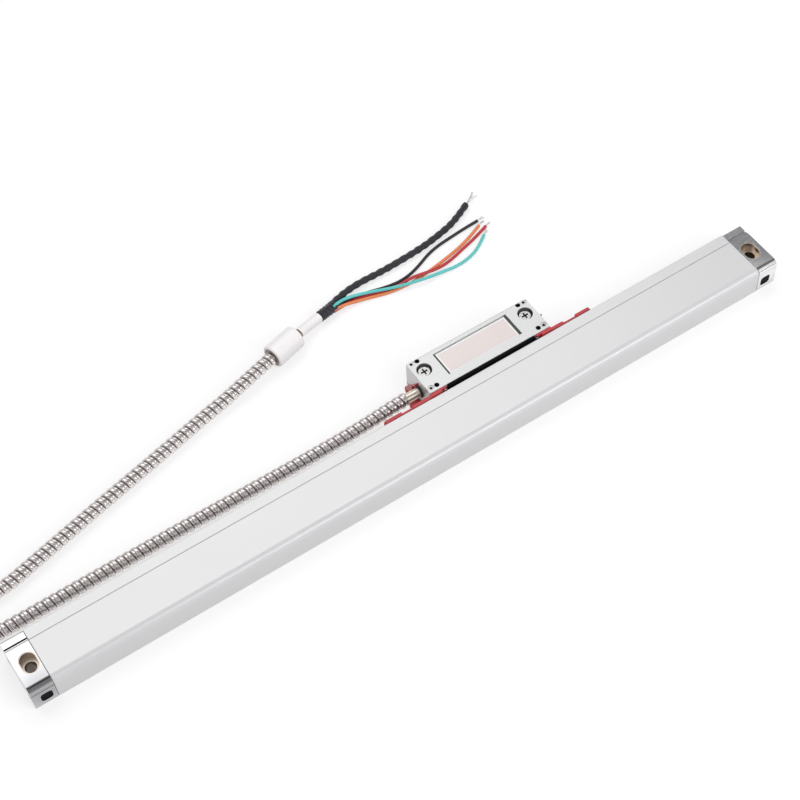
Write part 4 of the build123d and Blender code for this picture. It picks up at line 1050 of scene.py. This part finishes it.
@dataclass
class ShrunkSleeve:
    """The shrunk black sleeve over the place where the jacket ends, lumpy from the wires under it."""

    finishes: Finishes
    start: Point = (0.0075, 0.1085, 0.00495)
    before: Point = (-0.0027, 0.1061, 0.0056)
    length: float = 0.0144
    radius: float = 0.0039
    around: int = 40
    rings: int = 46
    end_share: float = 0.10
    end_sink: float = 0.10
    lump_count: float = 5.0
    lump_twist: float = 2.5
    lump_rise: float = 0.075
    lump_at_start: float = 0.25
    fold_rate: float = 31.0
    fold_sway: float = 1.6
    fold_sway_count: float = 3.0
    fold_rise: float = 0.045
    mean_share: float = 0.955

    def build(self) -> bpy.types.Object:
        """Makes the sleeve, a tube along one straight line, and puts it in its node's place.

        Returns:
            The sleeve.
        """
        share = np.linspace(0.0, 1.0, self.rings)
        heading = direction(self.before, self.start)
        path = np.array(self.start)[None, :] + heading[None, :] * (share * self.length)[:, None]
        verts, quads = tube_arrays(path, self.radii(share))
        piece = mesh_object("shrunk_sleeve", verts, quads)
        close_ends(piece)
        dress(piece, SLEEVE_BLACK, self.finishes)
        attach(piece, READER_BODY)
        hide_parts("shrink_sleeve")
        log.info("shrunk sleeve: %d faces", len(quads))
        return piece

    def radii(self, share: np.ndarray) -> np.ndarray:
        """Works out the radius over the length and round the sleeve.

        It sinks by a root at both ends. Lumps are a cosine of the angle that twists and grows along the
        sleeve, and folds are a sine along it whose place sways round it.

        Args:
            share: how far along the sleeve each ring lies, from 0 to 1.
        Returns:
            A row of radii for each ring.
        """
        along, angle = share[:, None], ring_angles(self.around)[None, :]
        growth = self.lump_at_start + (1.0 - self.lump_at_start) * along
        lumps = np.cos(self.lump_count * angle + self.lump_twist * along) * growth
        folds = np.sin(along * self.fold_rate + self.fold_sway * np.sin(self.fold_sway_count * angle))
        ends = np.clip(np.minimum(along, 1.0 - along) / self.end_share, 0.0, 1.0)
        outline = 1.0 - self.end_sink + self.end_sink * np.sqrt(ends)
        return self.radius * outline * (self.mean_share + self.lump_rise * lumps + self.fold_rise * folds)


@dataclass
class StrandTips:
    """The bare tinned strands at one wire's end, a few of them splayed and bent over."""

    finishes: Finishes
    wire: str
    points: tuple[Point, ...]
    seed: int
    strands: int = 3
    length: float = 0.0058
    spread: float = 0.0004
    strand_r: float = 0.00032
    around: int = 8
    rings: int = 16
    hidden_share: float = 0.12
    lean: float = 2.6
    curl: float = 2.2
    shortest: float = 0.7
    lift: float = 0.0004
    lift_rate: float = 3.0
    floor_gap: float = 0.0001

    def build(self) -> bpy.types.Object:
        """Makes the strands as one mesh.

        Each strand runs on from the wire's end, and leaves its axis sideways by its lean times the share of
        its length plus its curl times that share's square. A small sine lifts it off the table.

        Returns:
            The strands.
        """
        rng = np.random.default_rng(self.seed)
        end = np.array(self.points[-1])
        axis = direction(self.points[-2], self.points[-1])
        side = np.cross(axis, (0.0, 0.0, 1.0))
        side /= np.linalg.norm(side)
        share = np.linspace(-self.hidden_share, 1.0, self.rings)[:, None]
        radii = np.full((self.rings, self.around), self.strand_r)
        all_verts, all_quads, count = [], [], 0
        for k in range(self.strands):
            lean = self.lean * (k - (self.strands - 1) / 2) / (self.strands - 1)
            curl = self.curl * rng.uniform(-1.0, 1.0)
            reach = self.length * rng.uniform(self.shortest, 1.0)
            bend = side[None, :] * self.spread * (lean * share + curl * share ** 2)
            path = end[None, :] + axis[None, :] * share * reach + bend
            lifted = path[:, 2] + self.lift * np.sin(self.lift_rate * share[:, 0] + k)
            path[:, 2] = np.maximum(lifted, self.strand_r + self.floor_gap)
            verts, quads = tube_arrays(path, radii)
            all_verts.append(verts)
            all_quads.append(quads + count)
            count += len(verts)
        piece = mesh_object(self.wire + "_strands", np.concatenate(all_verts), np.concatenate(all_quads))
        close_ends(piece)
        dress(piece, TINNED, self.finishes)
        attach(piece, READER_BODY)
        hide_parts("stripped_wire_ends")
        log.info("strands: %s", piece.name)
        return piece


@dataclass
class TwistedWire:
    """The thick black lead: two cores twisted under a tight sleeve, so its outline swells and narrows."""

    finishes: Finishes
    tips: bpy.types.Object
    length: float = 0.128
    spacing: float = 0.0007
    around: int = 24
    twist: float = 0.0125
    swell: float = 0.17
    wrinkle: float = 0.03
    wrinkle_rate: float = 2600.0
    drift: float = 3.0
    drift_rate: float = 700.0

    def build(self) -> bpy.types.Object:
        """Returns:
            The lead.
        """
        path = spline_samples(list(THICK_BLACK_POINTS), self.spacing)
        along = distances_along(path)
        verts, quads = tube_arrays(path, self.radii(along))
        piece = mesh_object("thick_black_lead", verts, quads)
        close_ends(piece)
        dress(piece, WIRE_BLACK, self.finishes)
        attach(piece, READER_BODY)
        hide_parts("thick_black_wire")
        log.info("thick lead: %.3f m", along[-1])
        return piece

    def radii(self, along: np.ndarray) -> np.ndarray:
        """Works out the radius along and round the lead.

        The two cores are a cosine of twice the angle that turns once for each twist, and the sleeve's
        wrinkles are a sine along the lead whose pace drifts.

        Args:
            along: how far along the lead each ring lies.
        Returns:
            A row of radii for each ring.
        """
        place, angle = along[:, None], ring_angles(self.around)[None, :]
        lobes = np.cos(2.0 * (angle - 2.0 * np.pi * place / self.twist))
        pace = place * self.wrinkle_rate + self.drift * np.sin(place * self.drift_rate)
        wrinkles = np.sin(pace + 2.0 * angle)
        sunk = self.swell * (0.5 - 0.5 * lobes) + self.wrinkle * (1.0 + wrinkles)
        return THICK_WIRE_DIAMETER / 2 * (1.0 - sunk)


@dataclass(frozen=True)
class ThinWire:
    """What one thin wire is: the node that it stands for, its route, its real length and its look."""

    node: str
    points: tuple[Point, ...]
    length: float
    finish: Finish
    tips_seed: int


THIN_WIRES = (
    ThinWire("turquoise_wire", TURQUOISE_POINTS, length=0.125, finish=WIRE_TURQUOISE, tips_seed=8),
    ThinWire("orange_wire", ORANGE_POINTS, length=0.124, finish=WIRE_ORANGE, tips_seed=9),
    ThinWire("red_wire", RED_POINTS, length=0.127, finish=WIRE_RED, tips_seed=10),
    ThinWire("thin_black_wire", THIN_BLACK_POINTS, length=0.125, finish=WIRE_BLACK, tips_seed=11),
)


@dataclass
class LooseWire:
    """One plain insulated wire, as a bevelled curve along its route."""

    finishes: Finishes
    wire: ThinWire
    tips: bpy.types.Object
    steps_per_point: int = 16
    bevel_resolution: int = 4

    def build(self) -> bpy.types.Object:
        """Returns:
            The wire.
        """
        piece = nurbs_curve(self.wire.node + "_dressed", list(self.wire.points), self.steps_per_point)
        piece.data.bevel_depth = THIN_WIRE_DIAMETER / 2
        piece.data.bevel_resolution = self.bevel_resolution
        piece.data.use_fill_caps = True
        dress(piece, self.wire.finish, self.finishes)
        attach(piece, READER_BODY)
        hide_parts(self.wire.node)
        log.info("wire: %s", self.wire.node)
        return piece


# How far the box of a hole's painted shade reaches past the hole
HOLE_MARGIN = 0.00012


@dataclass(frozen=True)
class ShadedPlace:
    """A box whose faces take painted shade: round the walls of a hole or groove, and along a cap's rounded
    edge for a painted dark reflection band.
    """

    low: Point
    high: Point
    depth: float = 1.0

    @classmethod
    def hole(cls, centre: tuple[float, float], radius: float, low_z: float, high_z: float,
             depth: float = 1.0) -> "ShadedPlace":
        """Gives the box round an upright hole, a little wider than the hole.

        Args:
            centre: the x and y of the hole's middle.
            radius: the hole's radius.
            low_z: where the dark part ends below.
            high_z: where it ends above.
            depth: how dark it is.
        Returns:
            The box.
        """
        x, y = centre
        reach = radius + HOLE_MARGIN
        return cls((x - reach, y - reach, low_z), (x + reach, y + reach, high_z), depth)

    def holds(self, centres: np.ndarray) -> np.ndarray:
        """Tells for each row of face centres whether it lies in the box."""
        return np.all((centres > np.array(self.low)) & (centres < np.array(self.high)), axis=1)


@dataclass(frozen=True)
class PaintedReflectionBand:
    """A painted dark reflection band along a cap's rounded front edge: its edges' depths under the cap's top,
    and how dark it is.
    """

    upper: float
    lower: float
    depth: float


# The caps' painted dark reflection bands, in the caps' shade colour
CAP_REFLECTION_BANDS = (
    PaintedReflectionBand(upper=0.00010, lower=0.00042, depth=0.50),
    PaintedReflectionBand(upper=0.00100, lower=0.00116, depth=0.85),
    PaintedReflectionBand(upper=0.00120, lower=0.00145, depth=0.65),
    PaintedReflectionBand(upper=0.00190, lower=0.00205, depth=0.35),
    PaintedReflectionBand(upper=0.00368, lower=0.00400, depth=0.40),
)
# How far the painted reflection bands reach behind the cap's front
REFLECTION_BAND_REACH = 0.0041
MOUNT_HOLE_R = 0.0037
LINER_SEAT = 0.0001
TAPPED_HALF_PITCH = 0.0389
TAPPED_HOLE_R = 0.00165
BOLT_HEAD_R = 0.0044
BOLT_HOLE_R = 0.0050
BOLT_CROSS_R = 0.0025
CORNER_HEAD_R = 0.0021
CORNER_CROSS_R = 0.0011
HOLE_BOTTOM = 0.0120
HOLE_RIM = 0.0002
# The painted shade on the end wall of the label's recess: how far past the plate it starts and ends, at the
# end and at the sides
RECESS_WALL = (0.0002, 0.0007)
RECESS_SIDE = 0.0009
RECESS_BOTTOM = 0.0020
RECESS_RIM = 0.0001
PAST_ENDS = 0.01


def head_centres(node: str, head_r: float) -> list[tuple[float, float]]:
    """Gives the middles of a node's screw heads, which fill the corners of its box.

    Args:
        node: the screws' node.
        head_r: the radius of their heads.
    Returns:
        The x and y of each, to a tenth of a millimetre.
    """
    box = Box.of_node(node)
    xs, ys = ({round(box.low[axis] + head_r, 4), round(box.high[axis] - head_r, 4)} for axis in (0, 1))
    return [(x, y) for x in sorted(xs) for y in sorted(ys)]


def groove_along(box: Box, back: tuple[float, float], under: tuple[float, float]) -> ShadedPlace:
    """Gives painted shade in a groove all along a piece, by its edges' distances from the piece's back and
    top.
    """
    low = (box.low[0] - PAST_ENDS, box.high[1] - back[0], box.high[2] - under[0])
    return ShadedPlace(low, (box.high[0] + PAST_ENDS, box.high[1] - back[1], box.high[2] - under[1]))


def cap_places(side: str) -> tuple[ShadedPlace, ...]:
    """Gives an end cap's painted dark places: shade in its mounting hole and dark reflection bands along its
    front edge.

    Args:
        side: left or right.
    Returns:
        The places.
    """
    cap, liner = Box.of_node("end_cap_" + side), Box.of_node("mount_liner_" + side)
    low_x, high_x = cap.low[0] - PAST_ENDS, cap.high[0] + PAST_ENDS
    low_y, high_y = cap.low[1] - PAST_ENDS, cap.low[1] + REFLECTION_BAND_REACH
    top = cap.high[2]
    reflection_bands = [
        ShadedPlace((low_x, low_y, top - band.lower), (high_x, high_y, top - band.upper), band.depth)
        for band in CAP_REFLECTION_BANDS
    ]
    # Painted shade in the mounting hole, below the liner
    centre = (liner.middle[0], liner.middle[1])
    hole = ShadedPlace.hole(centre, MOUNT_HOLE_R, cap.low[2] - PAST_ENDS, liner.low[2] - LINER_SEAT)
    return (hole, *reflection_bands)


def housing_places() -> tuple[ShadedPlace, ...]:
    """Gives the housing's painted shade: in its holes and on the end wall of the label's recess.

    Returns:
        The places.
    """
    top = HOUSING.high[2]
    bottom, rim = top - HOLE_BOTTOM, top - HOLE_RIM
    corners = head_centres("reader_corner_screws", CORNER_HEAD_R)
    tapped_xs = (HOUSING.middle[0] - TAPPED_HALF_PITCH, HOUSING.middle[0] + TAPPED_HALF_PITCH)
    tapped = [(x, y) for x in tapped_xs for _, y in corners[:2]]
    wall_low = (PLATE.high[0] + RECESS_WALL[0], PLATE.low[1] - RECESS_SIDE, top - RECESS_BOTTOM)
    wall_high = (PLATE.high[0] + RECESS_WALL[1], PLATE.high[1] + RECESS_SIDE, top - RECESS_RIM)
    bolts = head_centres("reader_bolts", BOLT_HEAD_R)
    return (
        *(ShadedPlace.hole(centre, BOLT_HOLE_R, bottom, rim, depth=0.7) for centre in bolts),
        *(ShadedPlace.hole(centre, TAPPED_HOLE_R, bottom, rim) for centre in tapped),
        *(ShadedPlace.hole(centre, CORNER_HEAD_R, bottom, rim) for centre in corners),
        ShadedPlace(wall_low, wall_high, depth=0.8),
    )


def cross_places(node: str, head_r: float, cross_r: float,
                 under: tuple[float, float]) -> tuple[ShadedPlace, ...]:
    """Gives the painted shade in the cross recesses of a node's screws.

    Args:
        node: the screws' node.
        head_r: the radius of their heads.
        cross_r: how far a cross reaches from its middle.
        under: how far its bottom and its rim lie under the screw's top.
    Returns:
        The places.
    """
    top = Box.of_node(node).high[2]
    centres = head_centres(node, head_r)
    return tuple(ShadedPlace.hole(centre, cross_r, top - under[0], top - under[1]) for centre in centres)


SHADED: dict[str, tuple[ShadedPlace, ...]] = {
    # Painted shade in the groove along the case's top
    "scale_case": (groove_along(CASE, back=(0.00850, 0.00775), under=(0.00150, 0.00003)),),
    "end_cap_left": (
        # Painted shade in the groove along the left cap's top
        groove_along(Box.of_node("end_cap_left"), back=(0.0073, 0.0053), under=(0.0021, 0.0007)),
        *cap_places("left"),
    ),
    "end_cap_right": cap_places("right"),
    "reader_housing": housing_places(),
    "reader_bolts": cross_places("reader_bolts", BOLT_HEAD_R, BOLT_CROSS_R, under=(0.0040, 0.0001)),
    "reader_corner_screws": cross_places(
        "reader_corner_screws", CORNER_HEAD_R, CORNER_CROSS_R, under=(0.0027, 0.00005)
    ),
}


@dataclass
class SoftEdgedNode:
    """A copy of a CAD node whose edges are slightly rounded, as on the real machined or cast piece."""

    finishes: Finishes
    node: str
    body: str
    finish: Finish
    radius: float
    segments: int = 2
    merge_distance: float = 1e-6
    flat_degrees: float = 0.4
    rounded_degrees: float = 32.0
    sharp_degrees: float = 40.0
    weight_of_large: int = 100

    def build(self) -> bpy.types.Object:
        """Copies the node's mesh, rounds its edges, paints shade into its holes and grooves, and puts it in
        the node's place.

        Returns:
            The new piece.
        """
        piece = self._merged_copy()
        self._round_edges(piece)
        self._even_normals(piece)
        self._shade(piece.data)
        dress(piece, self.finish, self.finishes)
        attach(piece, self.body)
        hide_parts(self.node)
        log.info("soft edges: %s, %d faces", self.node, len(piece.data.polygons))
        return piece

    def _merged_copy(self) -> bpy.types.Object:
        """Copies the node's mesh, with its doubles merged and its flat faces joined.

        Returns:
            The copy, linked to the scene.
        """
        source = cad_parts[self.node]
        shape = bmesh.new()
        shape.from_mesh(source.data)
        shape.transform(source.matrix_world)
        bmesh.ops.remove_doubles(shape, verts=shape.verts, dist=self.merge_distance)
        limit = math.radians(self.flat_degrees)
        bmesh.ops.dissolve_limit(shape, angle_limit=limit, verts=shape.verts, edges=shape.edges)
        mesh = bpy.data.meshes.new(self.node + "_soft")
        shape.to_mesh(mesh)
        shape.free()
        piece = bpy.data.objects.new(self.node + "_soft", mesh)
        bpy.context.collection.objects.link(piece)
        return piece

    def _round_edges(self, piece: bpy.types.Object) -> None:
        """Rounds the edges where faces meet at more than a small angle.

        Args:
            piece: the copy.
        """
        rounding = piece.modifiers.new("rounding", "BEVEL")
        rounding.width = self.radius
        rounding.segments = self.segments
        rounding.limit_method = "ANGLE"
        rounding.angle_limit = math.radians(self.rounded_degrees)
        rounding.use_clamp_overlap = True
        self._apply_modifiers(piece)

    def _even_normals(self, piece: bpy.types.Object) -> None:
        """Shades the piece smooth with normals that follow its large faces, so that flats stay flat.

        Args:
            piece: the rounded copy.
        """
        piece.data.polygons.foreach_set("use_smooth", np.full(len(piece.data.polygons), True))
        piece.data.set_sharp_from_angle(angle=math.radians(self.sharp_degrees))
        weighted = piece.modifiers.new("weighted", "WEIGHTED_NORMAL")
        weighted.mode = "FACE_AREA"
        weighted.weight = self.weight_of_large
        weighted.keep_sharp = True
        self._apply_modifiers(piece)

    def _shade(self, mesh: bpy.types.Mesh) -> None:
        """Writes how much painted shade each face takes, from the node's shaded places.

        Args:
            mesh: the finished mesh.
        """
        centres = np.empty(len(mesh.polygons) * 3)
        mesh.polygons.foreach_get("center", centres)
        centres = centres.reshape(-1, 3)
        depth = np.zeros(len(centres))
        for place in SHADED.get(self.node, ()):
            depth = np.maximum(depth, place.depth * place.holds(centres))
        shade = mesh.attributes.new("shade", "FLOAT", "FACE")
        shade.data.foreach_set("value", depth.astype(np.float32))

    def _apply_modifiers(self, piece: bpy.types.Object) -> None:
        """Puts the piece's modified mesh in the place of its first one.

        Args:
            piece: the piece with its modifiers.
        """
        bpy.context.view_layer.update()
        old = piece.data
        finished = bpy.data.meshes.new_from_object(piece.evaluated_get(bpy.context.evaluated_depsgraph_get()))
        piece.modifiers.clear()
        piece.data = finished
        bpy.data.meshes.remove(old)


# The CAD nodes that show as they are, by their finish
PLAIN_NODES: tuple[tuple[Finish, tuple[str, ...]], ...] = (
    (GLASS, ("glass_scale", "index_grating", "lamp_lens")),
    (RUBBER, ("glass_clamp_cord", "lip_seal_upper", "lip_seal_lower", "reader_gasket")),
    (GASKET, ("end_gasket_left", "end_gasket_right")),
    (LINER, ("mount_liner_left", "mount_liner_right")),
    (BLACK_PLASTIC, ("port_plug_left", "port_plug_right", "reader_front_seal", "coil_ties")),
    (BARE_PLATE, ("reader_nameplate",)),
    (BOARD, ("preamp_board", "scan_board")),
    (STEEL, (
        "reader_blade", "coupling_wire", "lamp_holder", "bearing_pins", "face_bearing_left",
        "face_bearing_right", "face_bearing_middle", "edge_bearing_left", "edge_bearing_right",
    )),
    (CARRIAGE, ("carriage_frame",)),
    (JACKET, ("cable_jacket",)),
)

# The CAD nodes that get rounded edges, each with its body, its finish and the edges' radius
SOFT_NODES: tuple[tuple[str, str, Finish, float], ...] = (
    ("scale_case", CASE_BODY, ANODISED, 0.00025),
    ("end_cap_left", CASE_BODY, CAP_METAL, 0.00025),
    ("end_cap_right", CASE_BODY, CAP_METAL, 0.00025),
    ("end_cap_screws_left", CASE_BODY, STEEL, 0.0002),
    ("end_cap_screws_right", CASE_BODY, STEEL, 0.0002),
    ("reader_housing", READER_BODY, READER_METAL, 0.0003),
    ("reader_base_plate", READER_BODY, READER_METAL, 0.0003),
    ("reader_bolts", READER_BODY, BOLT_STEEL, 0.0002),
    ("reader_corner_screws", READER_BODY, BOLT_STEEL, 0.00015),
    ("transport_bracket_left", READER_BODY, BRACKET_RED, 0.0003),
    ("transport_bracket_right", READER_BODY, BRACKET_RED, 0.0003),
    ("bracket_screws", READER_BODY, STEEL, 0.00015),
    ("gland_nut", READER_BODY, RUBBER, 0.0003),
    ("cable_ferrule", READER_BODY, FERRULE, 0.0003),
    ("hose_end_fitting", READER_BODY, FITTING, 0.0003),
)


def dress_nodes(finishes: Finishes) -> None:
    """Gives every carried-over CAD node its finish.

    Args:
        finishes: the shop that holds the materials.
    """
    for finish, names in PLAIN_NODES:
        material = finishes.material(finish)
        for name in names:
            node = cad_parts[name]
            for slot in node.material_slots:
                slot.material = material
            if not node.material_slots:
                node.data.materials.append(material)
            log.info("dressed node: %s", name)


def soft_edged_nodes(finishes: Finishes) -> dict[str, bpy.types.Object]:
    """Replaces the hard-edged CAD nodes.

    Args:
        finishes: the shop that holds the materials.
    Returns:
        The new pieces, by the name of the node that each stands for.
    """
    pieces = {}
    for name, body, finish, radius in SOFT_NODES:
        pieces[name] = SoftEdgedNode(finishes, name, body, finish, radius).build()
    return pieces


def main() -> None:
    """Builds the whole scene."""
    bpy.context.scene.view_settings.view_transform = "Standard"
    finishes = Finishes()
    PhotoCamera().build()
    Studio(finishes).build()
    pieces = soft_edged_nodes(finishes)
    # The bright pieces beside the left bracket mirror none of its red in the photograph
    pieces["transport_bracket_left"].visible_glossy = False
    sleeve = ShrunkSleeve(finishes).build()
    ArmouredHose(finishes, (pieces["hose_end_fitting"], sleeve)).build()
    lead_tips = StrandTips(finishes, "thick_black_lead", THICK_BLACK_POINTS, seed=7, strands=5, length=0.0125,
                           spread=0.0011).build()
    TwistedWire(finishes, lead_tips).build()
    for wire in THIN_WIRES:
        tips = StrandTips(finishes, wire.node, wire.points, wire.tips_seed).build()
        LooseWire(finishes, wire, tips).build()
    dress_nodes(finishes)


if __name__ == "__main__":
    main()
